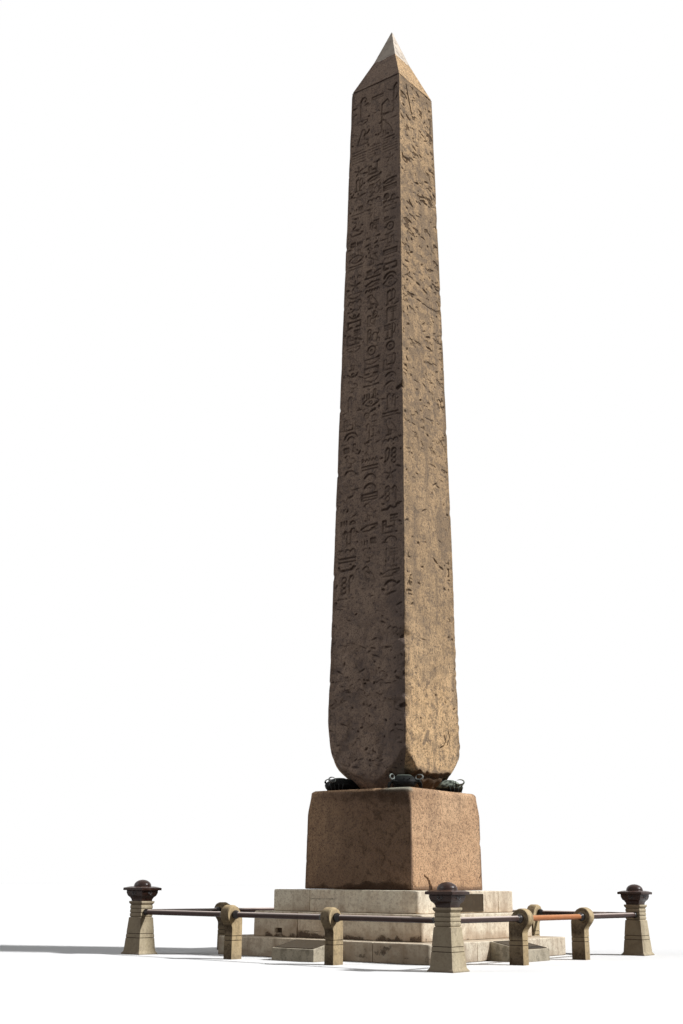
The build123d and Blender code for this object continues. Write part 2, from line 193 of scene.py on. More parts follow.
# Each sign is strokes ("s") and sunk shapes ("f"), in a cell as wide as its column, with its height
lens_shape = arc(0.5, -0.13, 0.62, 40, 140) + arc(0.5, 0.67, 0.62, -140, -40)
star_turns = (0, 1.257, 2.513, 3.77, 5.027)
signs = {
    "reed": (0.95, [
        ("f", [(.42, .30), (.60, .38), (.66, .78), (.50, .98), (.42, .96)]), ("s", [(.42, .02), (.42, .4)])]),
    "water": (0.24, [("s", [(.04 + .092 * n, .06 + .14 * (n % 2)) for n in range(11)])]),
    "disc": (0.66, [("s", arc(0.5, 0.33, 0.26, 0, 360, 17)), ("f", arc(0.5, 0.33, 0.07, 0, 360, 9))]),
    "mouth": (0.34, [
        ("s", arc(0.5, -0.22, 0.58, 38, 142) + arc(0.5, 0.50, 0.58, -142, -38) + [(.957, .14)])]),
    "loaf": (0.30, [("f", arc(0.5, 0.04, 0.24, 0, 180))]),
    "basket": (0.34, [("f", arc(0.5, 0.30, 0.44, 180, 360, 11, 0.62))]),
    "bird": (0.98, [
        ("f", [(.16, .34), (.30, .60), (.46, .74), (.50, .88), (.62, .96), (.74, .90), (.84, .84), (.72, .80),
               (.72, .62), (.66, .44), (.50, .30), (.30, .28), (.06, .10)]),
        ("s", [(.46, .32), (.46, .06), (.62, .06)]), ("s", [(.60, .36), (.60, .06), (.76, .06)])]),
    "chick": (0.80, [
        ("f", [(.14, .36), (.26, .52), (.50, .54), (.56, .70), (.70, .76), (.84, .66), (.72, .60), (.70, .40),
               (.54, .26), (.32, .26)]),
        ("s", [(.46, .28), (.44, .05), (.60, .05)])]),
    "viper": (0.34, [
        ("s", [(.04, .08), (.30, .08), (.48, .20), (.66, .10), (.80, .12), (.86, .28), (.96, .24)])]),
    "leg": (0.72, [
        ("f", [(.36, .70), (.58, .70), (.56, .22), (.84, .12), (.84, .02), (.34, .02), (.38, .30)])]),
    "hand": (0.36, [
        ("f", [(.04, .14), (.40, .28), (.94, .30), (.94, .22), (.60, .14), (.90, .08), (.50, .04),
               (.10, .04)])]),
    "eye": (0.40, [("s", lens_shape + lens_shape[:1]), ("f", arc(0.5, 0.26, 0.09, 0, 360, 9))]),
    "feather": (0.98, [
        ("s", [(.40, .02), (.40, .84), (.50, .96), (.62, .88), (.60, .50), (.50, .30), (.42, .26)])]),
    "staff": (1.00, [
        ("s", [(.50, .08), (.50, .86), (.66, .96), (.72, .84)]),
        ("s", [(.42, .02), (.50, .10), (.58, .02)])]),
    "seat": (0.72, [
        ("s", [(.22, .04), (.22, .66), (.40, .66), (.40, .34), (.80, .34), (.80, .04), (.22, .04)])]),
    "pool": (0.36, [
        ("s", [(.06, .04), (.94, .04), (.94, .30), (.06, .30), (.06, .04)]),
        ("s", [(.06, .17), (.94, .17)])]),
    "wick": (0.98, [("s", arc(0.5, 0.20, 0.13, 0, 360, 11)), ("s", arc(0.5, 0.48, 0.13, 0, 360, 11)),
                    ("s", arc(0.5, 0.76, 0.13, -60, 240, 11))]),
    "star": (0.70, [
        ("s", [(.5, .35), (.5 + .34 * math.sin(t), .35 + .32 * math.cos(t))]) for t in star_turns]),
    "arm": (0.34, [("s", [(.05, .26), (.12, .08), (.80, .10), (.95, .22)]), ("s", [(.72, .11), (.86, .24)])]),
    "cloth": (0.86, [("s", [(.62, .04), (.62, .76), (.54, .84), (.44, .76), (.44, .44)])]),
    "stool": (0.52, [
        ("s", [(.26, .06), (.74, .06), (.74, .46), (.26, .46), (.26, .06)]), ("s", [(.42, .06), (.42, .46)]),
        ("s", [(.58, .06), (.58, .46)])]),
    "house": (0.42, [("s", [(.36, .04), (.08, .04), (.08, .36), (.92, .36), (.92, .04), (.64, .04)])]),
    "beetle": (0.90, [
        ("f", arc(0.5, 0.40, 0.20, 0, 360, 13, 1.35)), ("s", [(.30, .55), (.16, .70), (.24, .86)]),
        ("s", [(.70, .55), (.84, .70), (.76, .86)]), ("s", [(.32, .30), (.14, .22), (.18, .04)]),
        ("s", [(.68, .30), (.86, .22), (.82, .04)])]),
    "loop_cross": (0.96, [
        ("s", arc(0.5, 0.74, 0.15, -90, 270, 13, 1.25)), ("s", [(.5, .04), (.5, .56)]),
        ("s", [(.24, .50), (.76, .50)])]),
    "pillar": (0.96, [
        ("s", [(.5, .04), (.5, .92)]), ("s", [(.30, .92), (.70, .92)]), ("s", [(.30, .78), (.70, .78)]),
        ("s", [(.30, .64), (.70, .64)]), ("s", [(.34, .04), (.66, .04)])]),
    "three": (0.40, [("s", [(place, .06), (place, .34)]) for place in (.24, .5, .76)]),
    "kneeling": (0.92, [
        ("f", [(.20, .04), (.80, .04), (.82, .18), (.62, .30), (.60, .58), (.66, .70), (.58, .86), (.44, .86),
               (.38, .70), (.34, .54), (.26, .30)]),
        ("s", [(.56, .52), (.80, .62), (.88, .74)])]),
    "land": (0.26, [
        ("f", [(.04, .12), (.96, .12), (.96, .20), (.04, .20)]), ("f", arc(0.3, 0.05, 0.035, 0, 360, 7)),
        ("f", arc(0.7, 0.05, 0.035, 0, 360, 7))]),
    "hills": (0.34, [("s", [(.04, .06)] + arc(0.2, 0.14, 0.13, 180, 0, 7) + arc(0.5, 0.14, 0.13, 180, 0, 7)
                     + arc(0.8, 0.14, 0.13, 180, 0, 7) + [(.96, .06)])]),
    "crook": (0.98, [("s", [(.44, .02), (.44, .78), (.52, .92), (.64, .92), (.70, .82), (.64, .74)])]),
    "bar": (0.16, [("s", [(.04, .08), (.96, .08)])]),
    "arch": (0.42, [("s", arc(0.5, 0.02, 0.34, 12, 150))]),
    "double_arch": (0.50, [("s", arc(0.5, 0.02, 0.40, 20, 160)), ("s", arc(0.5, 0.02, 0.20, 20, 160))]),
    "slanting": (0.44, [("s", [(foot, .04), (foot + .16, .40)]) for foot in (.20, .46, .72)]),
    "two_bars": (0.30, [("s", [(.05, .07), (.95, .07)]), ("s", [(.05, .22), (.95, .22)])]),
    "horns": (0.36, [("s", arc(0.5, 0.34, 0.34, 200, 340, 9, 0.8)), ("f", arc(0.5, 0.20, 0.08, 0, 360, 9))]),
}
# The plain bars and arches come more than once among the wide signs, as they are the most common
wide_signs = [
    "water", "mouth", "basket", "viper", "hand", "eye", "pool", "arm", "house", "land", "hills", "bar",
    "two_bars", "horns", "bar", "two_bars", "arch", "double_arch", "slanting", "arch", "double_arch",
]
tall_signs = [
    "reed", "feather", "staff", "wick", "cloth", "loop_cross", "pillar", "crook", "leg", "seat", "beetle",
]
full_signs = ["bird", "chick", "kneeling", "disc", "star"]
small_signs = ["loaf", "stool", "three", "disc", "leg"]


def to_stroke(px, pz, points):
    """How far each place is from a line through the points."""
    nearest = np.full(px.shape, 9.0)
    for (ax, az), (bx, bz) in zip(points, points[1:]):
        along_x, along_z = bx - ax, bz - az
        length = max(along_x * along_x + along_z * along_z, 1e-9)
        part = np.clip(((px - ax) * along_x + (pz - az) * along_z) / length, 0.0, 1.0)
        nearest = np.minimum(nearest, np.hypot(px - ax - part * along_x, pz - az - part * along_z))
    return nearest


def within(px, pz, points):
    """Which places lie inside a closed line through the points."""
    inside = np.zeros(px.shape, bool)
    for (ax, az), (bx, bz) in zip(points, points[1:] + points[:1]):
        if az != bz:
            inside ^= ((az > pz) != (bz > pz)) & (px < (bx - ax) * (pz - az) / (bz - az) + ax)
    return inside


def carve(cut, x, z, sign, left, low, width, stroke=0.048, mirrored=False):
    """Cuts one sign into a side of the shaft, deep along its lines, and returns its height."""
    tall, marks = signs[sign]
    near = (x > left - 0.08) & (x < left + width + 0.08)
    near &= (z > low - 0.08) & (z < low + tall * width + 0.08)
    px, pz = (x[near] - left) / width, (z[near] - low) / width
    if mirrored:
        px = 1 - px
    best = np.full(px.shape, 9.0)
    for kind, points in marks:
        if kind == "s":
            best = np.minimum(best, to_stroke(px, pz, points) * width - stroke * 0.5)
        else:
            best = np.minimum(best, to_stroke(px, pz, points + points[:1]) * width - stroke * 0.40)
            best = np.where(within(px, pz, points), np.minimum(best, 0.004), best)
    cut[near] = np.minimum(cut[near], best)
    return tall * width


def half_width(z):
    """Half the width of the shaft at a height."""
    share = np.clip((z - shaft_foot) / (shaft_neck - shaft_foot), 0.0, 1.0)
    return foot_half + (neck_half - foot_half) * share


def sign_columns(cut, x, z, seed, top, bottom):
    """Fills the three columns of one side with signs, from the top down."""
    chance = np.random.default_rng(seed)
    for column in (-1, 0, 1):
        level = top - chance.random() * 0.1
        while level > bottom:
            width = half_width(level) * 0.52
            middle = column * half_width(level) * 0.61
            kind = chance.random()
            stroke = chance.uniform(0.044, 0.084)
            if kind < 0.50:
                sign = wide_signs[chance.integers(len(wide_signs))]
                level -= signs[sign][0] * width
                carve(cut, x, z, sign, middle - width / 2, level, width, stroke)
            elif kind < 0.68:
                sign = full_signs[chance.integers(len(full_signs))]
                level -= signs[sign][0] * width * 0.92
                carve(cut, x, z, sign, middle - width * 0.46, level, width * 0.92, stroke * 0.8, True)
            elif kind < 0.87:
                pair = chance.choice(tall_signs, 2, replace=False)
                level -= 0.92 * width
                for sign, place in zip(pair, (0.60, 0.24)):
                    carve(cut, x, z, sign, middle - width * place, level, width * 0.88, stroke * 0.8)
            else:
                pair = chance.choice(small_signs, 2, replace=False)
                level -= 0.50 * width
                for sign, place in zip(pair, (0.52, 0.04)):
                    carve(cut, x, z, sign, middle - width * place, level, width * 0.56, stroke * 0.9)
            level -= width * (0.05 + 0.09 * chance.random())


def gouges(x, z, seed, count, long, thin, tilt, power=1.0, to_edges=False):
    """Random short gouges on one side: how far each place is outside the nearest of them."""
    chance = np.random.default_rng(seed)
    nearest = np.full(x.shape, uncut)
    for _ in range(count):
        level = shaft_foot + 0.25 + (shaft_neck - shaft_foot - 0.6) * chance.random() ** power
        if to_edges:
            share = chance.choice((-1, 1)) * (0.96 - 0.5 * chance.random() ** 2)
        else:
            share = chance.uniform(-0.95, 0.95)
        across, rise = x - share * half_width(level), z - level
        near = (np.abs(across) < 0.2) & (np.abs(rise) < 0.2)
        turn = math.radians(chance.uniform(*tilt))
        along = across[near] * math.cos(turn) + rise[near] * math.sin(turn)
        off = rise[near] * math.cos(turn) - across[near] * math.sin(turn)
        half_long, half_thin = chance.uniform(*long), chance.uniform(*thin)
        outside = (np.hypot(along / half_long, off / half_thin) - 1) * half_thin
        nearest[near] = np.minimum(nearest[near], outside)
    return nearest


# The bowl that took the corners of the foot: height above the foot, and radius there. Its middle is
# a little to the back right of the shaft's.
bowl_profile = (
    (0, 1.02), (0.06, 1.075), (0.12, 1.125), (0.20, 1.18), (0.30, 1.245), (0.38, 1.295),
    (0.45, 1.338), (0.52, 1.385), (0.60, 1.435), (0.70, 1.488), (0.80, 1.532), (0.92, 1.570),
    (1.05, 1.593), (1.20, 1.610), (1.50, 1.640), (2.00, 1.675), (2.60, 1.75),
)
bowl_offset = 0.028
# The flat seats over the crabs: how high they reach, and how far out they lie along the diagonals
seat_rise, seat_out = 0.30, 1.142
# How ragged the arrises are low down, from the front right one round to the front left one
arris_ragged = (1.0, 0.6, 0.5, 0.25)
# Chips in the front right arris: height, half length and depth
arris_chips = ((13.45, 0.12, 0.16), (7.10, 0.13, 0.20), (6.30, 0.25, 0.11), (5.75, 0.10, 0.10))
arris_bend = np.radians((45.0, 36.0, 27.0, 18.0, 9.0))


def bowl_radius(z):
    """The radius of the bowl at a height."""
    rises, radii = zip(*bowl_profile)
    return np.interp(z - shaft_foot, rises, radii)


def arris_wear(z, corner):
    """The radius that wear has given the arris on that corner."""
    wear = 0.020 + 0.022 * patches(z, 0.0, 0.45, 40 + corner) ** 2
    wear = wear + 0.045 * ease(patches(z, 0.0, 0.22, 50 + corner), 0.80, 1.0)
    bites = 0.06 + 0.08 * patches(z, 0.0, 0.28, 70 + corner) + 0.09 * patches(z, 0.0, 0.11, 74 + corner) ** 2
    wear = wear + arris_ragged[corner] * ease(z, 10.0, 6.0) * bites
    if corner == 0:
        for level, tall, deep in arris_chips:
            wear = wear + deep * np.exp(-((z - level) / tall) ** 2)
    return wear


def mesh_piece(name, points, faces, material, smooth=True):
    """A new piece from its points and faces, with one finish."""
    shape = bpy.data.meshes.new(name)
    points, faces = np.asarray(points, float).reshape(-1, 3), np.asarray(faces, int)
    shape.from_pydata(points.tolist(), [], faces.tolist())
    shape.polygons.foreach_set("use_smooth", np.full(len(shape.polygons), smooth))
    shape.materials.append(material)
    piece = bpy.data.objects.new(name, shape)
    bpy.context.collection.objects.link(piece)
    return piece


def net(high, wide):
    """The four-sided faces of a net of points with that many rows and columns."""
    corner = (np.arange(high - 1)[:, None] * wide + np.arange(wide - 1)[None, :]).ravel()
    return np.stack([corner, corner + 1, corner + wide + 1, corner + wide], axis=1)


def give(piece, name, values):
    """Stores one number for each point of a piece, for its finish to read."""
    store = piece.data.attributes.new(name, "FLOAT", "POINT").data
    store.foreach_set("value", np.asarray(values, float).ravel())


def turned_round(x, y, z, quarter_turns):
    """Points that were worked out for the front, turned to another side."""
    turn = math.radians(90 * quarter_turns)
    turned_x = x * math.cos(turn) - y * math.sin(turn)
    turned_y = x * math.sin(turn) + y * math.cos(turn)
    return np.stack([turned_x, turned_y, z], axis=-1)


def noise(tree, vector, scale, detail, roughness=0.5):
    """Cloudy noise from 0 to 1."""
    sockets = {"Vector": vector, "Scale": scale, "Detail": detail, "Roughness": roughness}
    return add(tree, "TexNoise", sockets).outputs["Fac"]


def band(tree, source, low, high, amount=1.0):
    """A smooth rise from 0 at low to the amount at high."""
    sockets = {0: source, 1: low, 2: high, 3: 0.0, 4: amount}
    return add(tree, "MapRange", sockets, interpolation_type="SMOOTHSTEP").outputs[0]


def over(tree, below, above, share, way="MIX"):
    """One colour laid over another by its share."""
    return add(tree, "Mix", {0: share, 6: below, 7: above}, data_type="RGBA", blend_type=way).outputs[2]


# The colour of dirt and painted shade in a hollow, and what drains off bronze on to stone below it
hollow_dirt_and_shade, bronze_drip = (0.17, 0.14, 0.13, 1.0), (0.52, 0.54, 0.44, 1.0)


def stone_finish(
    name, light, body, dark, fleck,
    grain=34.0, flecks=0.5, mottle=0.6, streaks=0.5, bump=0.010, tatter=0.045
):
    """Stone: mottling, mineral grains, rain streaks, stains, painted shade, and dirt and painted shade in
    what is sunk.
    """
    made, tree, shader = finish(name)
    place = add(tree, "TexCoord").outputs["Object"]
    drawn = add(tree, "Mapping", {"Vector": place, "Scale": (3.0, 3.0, 0.16)}).outputs[0]
    broad, rain = noise(tree, place, 0.8, 6.0, 0.62), noise(tree, drawn, 1.6, 8.0, 0.68)
    cloud, fine = noise(tree, place, 6.0, 8.0, 0.72), noise(tree, place, grain, 5.0, 0.80)
    crystals = add(tree, "TexVoronoi", {"Vector": place, "Scale": grain * 2.6}).outputs["Color"]
    crystal = add(tree, "SeparateColor", {"Color": crystals}).outputs[0]
    stain_and_shade, hollow, pale = (
        add(tree, "Attribute", attribute_name=wanted).outputs["Fac"] for wanted in ("stain_and_shade", "sunk", "pale")
    )
    light, dark, fleck = (*light, 1.0), (*dark, 1.0), (*fleck, 1.0)
    colour = (*body, 1.0)
    # The stain attribute lays real stains, and on some pieces painted shade on their shaded sides
    for coat, share in (
        (light, band(tree, broad, 0.40, 0.64)),
        (light, band(tree, cloud, 0.49, 0.62, mottle)),
        (dark, band(tree, rain, 0.48, 0.70, streaks)),
        (dark, band(tree, cloud, 0.51, 0.39, mottle)),
        (fleck, band(tree, fine, 0.50, 0.38, flecks)),
        (light, band(tree, fine, 0.53, 0.62, flecks * 0.7)),
        (fleck, band(tree, crystal, 0.22, 0.05, flecks * 0.6)),
        (light, band(tree, crystal, 0.75, 0.96, flecks * 0.6)),
        (bronze_drip, pale),
        (dark, maths(tree, "MULTIPLY", stain_and_shade, 0.72)),
    ):
        colour = over(tree, colour, coat, share)
    # The edge of what is sunk is ragged, as the grains of the stone break it up
    relief = maths(tree, "ADD", fine, cloud)
    ragged = maths(tree, "MULTIPLY_ADD", relief, tatter, -tatter)
    sunk = maths(tree, "ADD", hollow, ragged)
    # What is sunk is darkened, as dirt and as painted shade in it
    colour = over(tree, colour, hollow_dirt_and_shade, band(tree, sunk, 0.050, 0.076, 0.88), "MULTIPLY")
    relief = maths(tree, "MULTIPLY_ADD", band(tree, sunk, 0.054, 0.070), -1.4, relief)
    dull = maths(tree, "ADD", band(tree, cloud, 0.3, 0.7, 0.16), 0.78)
    bumps = add(tree, "Bump", {"Strength": 0.85, "Distance": bump, "Height": relief})
    tree.links.new(colour, shader.inputs["Base Color"])
    tree.links.new(dull, shader.inputs["Roughness"])
    tree.links.new(bumps.outputs[0], shader.inputs["Normal"])
    shader.inputs["Specular IOR Level"].default_value = 0.08
    return made


granite = stone_finish(
    "weathered_granite",
    light=(0.410, 0.298, 0.228), body=(0.310, 0.222, 0.172), dark=(0.145, 0.112, 0.100),
    fleck=(0.080, 0.062, 0.055), grain=24.0, flecks=0.65, mottle=0.62, streaks=0.45, bump=0.020
)
bleached_granite = stone_finish(
    "bleached_granite",
    light=(0.86, 0.585, 0.330), body=(0.72, 0.480, 0.262), dark=(0.180, 0.138, 0.104),
    fleck=(0.13, 0.090, 0.060), grain=19.0, flecks=0.80, mottle=0.72, streaks=0.50, bump=0.022
)
column_lines = (-0.93, -0.30, 0.30, 0.93)
# The figures under the pyramid: sign, left edge, foot, width, and whether it faces the other way
top_figures = (
    ("kneeling", -0.68, 20.86, 0.56, False), ("staff", -0.32, 20.95, 1.10, False),
    ("bird", 0.06, 20.84, 0.58, True), ("basket", -0.62, 21.52, 0.40, False),
    ("arm", 0.18, 21.50, 0.46, True), ("feather", 0.34, 21.70, 0.72, False),
    ("crook", -0.80, 21.72, 0.70, False), ("two_bars", -0.12, 22.16, 0.40, False),
    ("bar", 0.30, 20.76, 0.36, False),
)
# Pits and scars of the bleached sides (True) and of the others: how many, their half lengths, half
# widths and tilts, how they crowd downwards, and whether they crowd to the arrises
pits = {
    True: (120, (0.012, 0.065), (0.008, 0.032), (-80, 80), 0.9, True),
    False: (150, (0.012, 0.065), (0.008, 0.038), (-80, 80), 1.5, False),
}
scars = {
    True: (80, (0.020, 0.130), (0.008, 0.030), (-35, 30), 0.45),
    False: (230, (0.020, 0.130), (0.008, 0.030), (-35, 30), 0.95),
}
# On the right side, a long staff and a stroke near the top, and two hooks low down, with their widths
right_marks = (
    ([(-0.46, 22.50), (-0.34, 22.06), (-0.22, 21.67)], 0.034),
    ([(0.70, 22.02), (0.66, 21.50)], 0.030),
    ([(0.26, 4.62), (0.40, 4.66), (0.52, 4.80), (0.44, 4.92)], 0.026),
    ([(0.56, 4.70), (0.69, 4.88), (0.62, 5.03)], 0.024),
)
slanting_patch = [(-0.426, 4.666), (-0.245, 4.941)]
# Old breaks on the front right arris, gone dark: height, reach over the front, drop and half width
old_breaks = (
    (13.45, 0.12, 0.05, 0.058), (7.12, 0.10, 0.05, 0.050),
    (6.30, 0.05, 0.12, 0.040), (5.48, 0.13, 0.03, 0.058),
)


def side_net(side):
    """One side before it is carved: its half widths, and the points of its worn arrises and flat."""
    half = half_width(heights)[:, None]
    near_left, near_right = arris_wear(heights, (side + 3) % 4)[:, None], arris_wear(heights, side)[:, None]
    share, back_bend = np.linspace(0.0, 1.0, columns), arris_bend[::-1]
    left_x = -half + near_left * (1 - np.sin(arris_bend))
    flat_x = (near_left - half) * (1 - share) + (half - near_right) * share
    right_x = half - near_right * (1 - np.sin(back_bend))
    left_depth, right_depth = near_left * (1 - np.cos(arris_bend)), near_right * (1 - np.cos(back_bend))
    x = np.concatenate([left_x, flat_x, right_x], axis=1)
    depth = np.concatenate([left_depth, np.zeros_like(flat_x), right_depth], axis=1)
    return half, x, depth, np.repeat(heights[:, None], x.shape[1], axis=1)


def carving(side, x, z, across, half):
    """The fine lines between the columns, the signs, and the figures under the pyramid."""
    cut = np.full(x.shape, uncut)
    for line in column_lines:
        strip = np.maximum(np.abs(across - line) * half - 0.006, 0.0)
        cut = np.minimum(cut, np.where((z > 5.6) & (z < 20.3), strip, uncut))
    sign_columns(cut, x, z, 300 + side, 20.28, 4.9)
    if side != 1:
        for figure, left, low, size, mirrored in top_figures:
            carve(cut, x, z, figure, left, low, size, 0.056, mirrored)
    return cut


def carving_kept(side, x, z, across):
    """The share of the carving that wear has left, from 0 to 1."""
    spread = rough(x + 7 * side, z, 0.9, 80 + side)
    if side % 2 == 1:
        by_edges = 0.45 * ease(np.abs(across), 0.45, 0.9)
        return 0.85 * ease(spread + 0.9 * ease(z, 18.5, 21.5) - 0.42 + by_edges, 0.05, 0.45)
    kept = ease(spread + 1.3 * ease(z, 6.5, 9.5) - 0.60, -0.25, 0.25)
    kept = kept * (0.68 + 0.32 * patches(x, z, 0.30, 85 + side))
    return np.maximum(kept, (0.35 + 0.45 * patches(x, z, 0.45, 87 + side)) * ease(z, 20.2, 20.6))


def line_bundles(side, x, z, across, half):
    """Three groups of fine parallel lines under the figures."""
    lines = np.abs((z - 20.33) / 0.085 % 1.0 - 0.5) * 0.085 - 0.016
    ends = np.minimum(np.abs(across) - 0.24, np.abs(np.abs(across) - 0.61) - 0.29) * half
    bundle = np.maximum(np.maximum(lines, np.abs(z - 20.54) - 0.212), ends)
    return bundle + 0.010 * patches(x, z, 0.20, 88 + side)


def worn_hollows(side, x, z):
    """Broad hollows low down, and on the bleached sides smaller ones higher up."""
    low_ones = ease(rough(x, z * 1.5, 0.42, 118 + side, 4), 0.10, 0.45) * ease(z, 9.2, 6.0)
    if side % 2 == 0:
        return 0.070 - 0.10 * low_ones
    high_ones = ease(rough(x + 0.25 * z, z * 2.0, 0.22, 134 + side, 4), 0.05, 0.42) * ease(z, 5.0, 14.0)
    return np.minimum(0.070 - 0.030 * low_ones, 0.064 - 0.080 * high_ones)


def break_marks(side, x, z):
    """The old breaks on the near arris, on the front or on the right side."""
    nearest = np.full(x.shape, uncut)
    for level, reach, drop, size in old_breaks:
        start, end = (0.97, 0.97 - reach) if side == 0 else (-0.98, -0.98 + 0.25 * reach)
        line = [(half_width(level) * start, level), (half_width(level) * end, level - drop)]
        nearest = np.minimum(nearest, to_stroke(x, z, line) - size * (1.0 if side == 0 else 0.55))
    return nearest


def stained(side, x, z, across, spalls, low_down):
    """Where rain, soot and damp have darkened one side, from 0 to 1."""
    damp = ease(rough(x, z * 1.3, 0.30, 158 + side, 4), 0.0, 0.40)
    stain_and_shade = 0.45 * spalls + 0.70 * low_down * damp * (0.3 if side % 2 else 1.0)
    stain_and_shade = stain_and_shade + 0.55 * ease(z, shaft_neck - 0.05, shaft_neck - 0.01)
    if side == 0:
        towards_corner = ease(across + 0.25 * rough(x, z, 0.6, 145), 0.0, 1.1)
        at_corner = ease(across + 0.2 * rough(x, z, 0.4, 147), 0.40, 0.95)
        stain_and_shade = stain_and_shade + 0.60 * towards_corner + 0.40 * low_down * at_corner
    if side % 2 == 0:
        return stain_and_shade + 0.30 * ease(rough(x, z, 0.8, 154 + side), 0.1, 0.6)
    runs = ease(rough(x * 1.6, z * 0.30, 0.5, 150 + side), 0.05, 0.45)
    stain_and_shade = stain_and_shade + 0.75 * runs * (0.35 + 0.65 * ease(across, -0.3, 0.5))
    stain_and_shade = stain_and_shade + 0.62 * ease(z + 1.2 * rough(x, z * 0.5, 0.7, 156 + side), 5.4, 8.2)
    drifts = ease(rough(x + 0.3 * z, z * 1.6, 0.24, 160 + side, 4), 0.0, 0.28)
    stain_and_shade = stain_and_shade + 0.75 * drifts * (0.3 + 0.7 * ease(z, 9.0, 17.0))
    return stain_and_shade * (1 - 0.30 * ease(z, 19.0, 21.5))


heights = np.linspace(shaft_foot, shaft_neck, rows)
seat_row = int(round(seat_rise / (heights[1] - heights[0])))
heights[seat_row] = shaft_foot + seat_rise - 0.002
heights[seat_row + 1] = shaft_foot + seat_rise + 0.004
for side, name in enumerate(("front", "right", "back", "left")):
    # The side is worked out as the front one, then turned to its place
    bleached = side % 2 == 1
    half, x, depth, z = side_net(side)
    inset = np.minimum(x - x[:, :1], x[:, -1:] - x)
    inner = ease(inset, 0.0, 0.09)
    across = x / half
    low_down = ease(z, 9.5, 5.5)
    # What is carved and what wear has left of it, then the hollows, pits and scars that came later
    kept = carving_kept(side, x, z, across)
    cut = uncut - (uncut - np.clip(carving(side, x, z, across, half), -0.03, uncut)) * (0.30 + 0.70 * kept)
    if not bleached:
        cut = np.minimum(cut, line_bundles(side, x, z, across, half))
    hooks = np.full(x.shape, uncut)
    if side == 1:
        for line, wide in right_marks:
            hooks = np.minimum(hooks, to_stroke(x, z, line) - wide / 2)
    marks = np.minimum(gouges(x, z, 110 + side, *pits[bleached]), gouges(x, z, 114 + side, *scars[bleached]))
    cut = np.minimum(cut, np.clip(worn_hollows(side, x, z), 0.0, uncut))
    cut = np.minimum(cut, np.clip(np.minimum(marks, hooks), -0.03, uncut))
    cut = np.where(inset < 0.05, uncut, cut)
    if side < 2:
        cut = np.minimum(cut, break_marks(side, x, z))
    sink = carved_depth * ease(cut, 0.012, -0.018)
    spalls = ease(rough(x * 1.2, z, 0.55, 90 + side, 4), 0.10, 0.55)
    spalls = spalls * (low_down * (0.25 if bleached else 0.9) + 0.06)
    wear = 0.010 * (1 + rough(x, z, 1.4, 100 + side)) + 0.0045 * (1 + rough(x, z, 0.20, 104 + side, 3))
    y = depth + inner * (sink + wear + 0.045 * spalls) - half
    # The foot: the bowl that took the corners, cut deeper at the front left, the broken lower edge of
    # the right side, and the flat seats over the crabs
    turn = math.radians(90 * side)
    centre_x = bowl_offset * (math.cos(turn) + math.sin(turn))
    centre_y = bowl_offset * (math.cos(turn) - math.sin(turn))
    out_x, out_y = x - centre_x, y - centre_y
    bearing = np.degrees(np.arctan2(out_y, out_x)) + 90 * side
    off_front_left = np.abs((bearing + 135 + 180) % 360 - 180)
    limit = bowl_radius(z) + inner * 0.025 * rough(x, z, 0.30, 120 + side) - 0.012
    limit = limit - 0.22 * np.clip(1 - (z - shaft_foot) / 0.50, 0.0, 1.0) * ease(off_front_left, 62.0, 12.0)
    pull = np.minimum(1.0, limit / np.maximum(np.hypot(out_x, out_y), 1e-6))
    x, y = centre_x + out_x * pull, centre_y + out_y * pull
    if side == 1:
        rise = z - shaft_foot + 0.10 * rough(x, z, 0.30, 130)
        broken = 0.15 * ease(rise, 0.40, 0.33) + 0.10 * ease(rise, 0.24, 0.10)
        y = y + broken * ease(inset, 0.0, 0.20) * (0.65 + 0.6 * patches(x, z, 0.10, 131))
    past_seat = np.maximum((np.abs(x) + np.abs(y)) / math.sqrt(2) - seat_out, 0.0) / math.sqrt(2)
    trim = np.where(z < shaft_foot + seat_rise, past_seat, 0.0)
    x, y = x - np.sign(x) * trim, y - np.sign(y) * trim
    side_stone = bleached_granite if bleached else granite
    piece = mesh_piece("shaft_" + name + "_side", turned_round(x, y, z, side), net(*x.shape), side_stone)
    # The upper edge of what is sunk is in its own shade, and dark; the lower edge catches the light
    rising = np.clip(np.gradient(cut, axis=0) / np.gradient(heights)[:, None], -1.0, 1.0)
    sunk = 0.052 - np.clip(cut, -0.006, uncut) + 0.026 * rising * (cut < 0.045)
    sunk = sunk + 0.024 * ease(cut, -0.020, -0.034)
    if bleached:
        upward = 0.35 * ease(z, 5.0, 9.0) + 0.65 * ease(z, 15.0, 19.0)
        sunk = sunk + 0.022 * ease(hooks, 0.004, -0.006) + 0.014 * (cut < 0.004) * upward
    stain_and_shade = stained(side, x, z, across, spalls, low_down)
    if side == 1:
        # Painted shade darkens the broken lower edge, under its overhang; the slanting patch is a stain
        sunk = np.maximum(sunk, (0.068 + 0.014 * patches(x, z, 0.12, 132)) * ease(rise, 0.46, 0.37))
        slant = to_stroke(x, z, slanting_patch)
        stain_and_shade = stain_and_shade + 1.1 * ease(slant, 0.062, 0.045) + 0.9 * ease(rise, 0.50, 0.39)
    give(piece, "sunk", np.maximum(sunk, 0.0))
    give(piece, "stain_and_shade", np.clip(stain_and_shade, 0.0, 1.0))
    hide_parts("obelisk_shaft")
    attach(piece, "root")

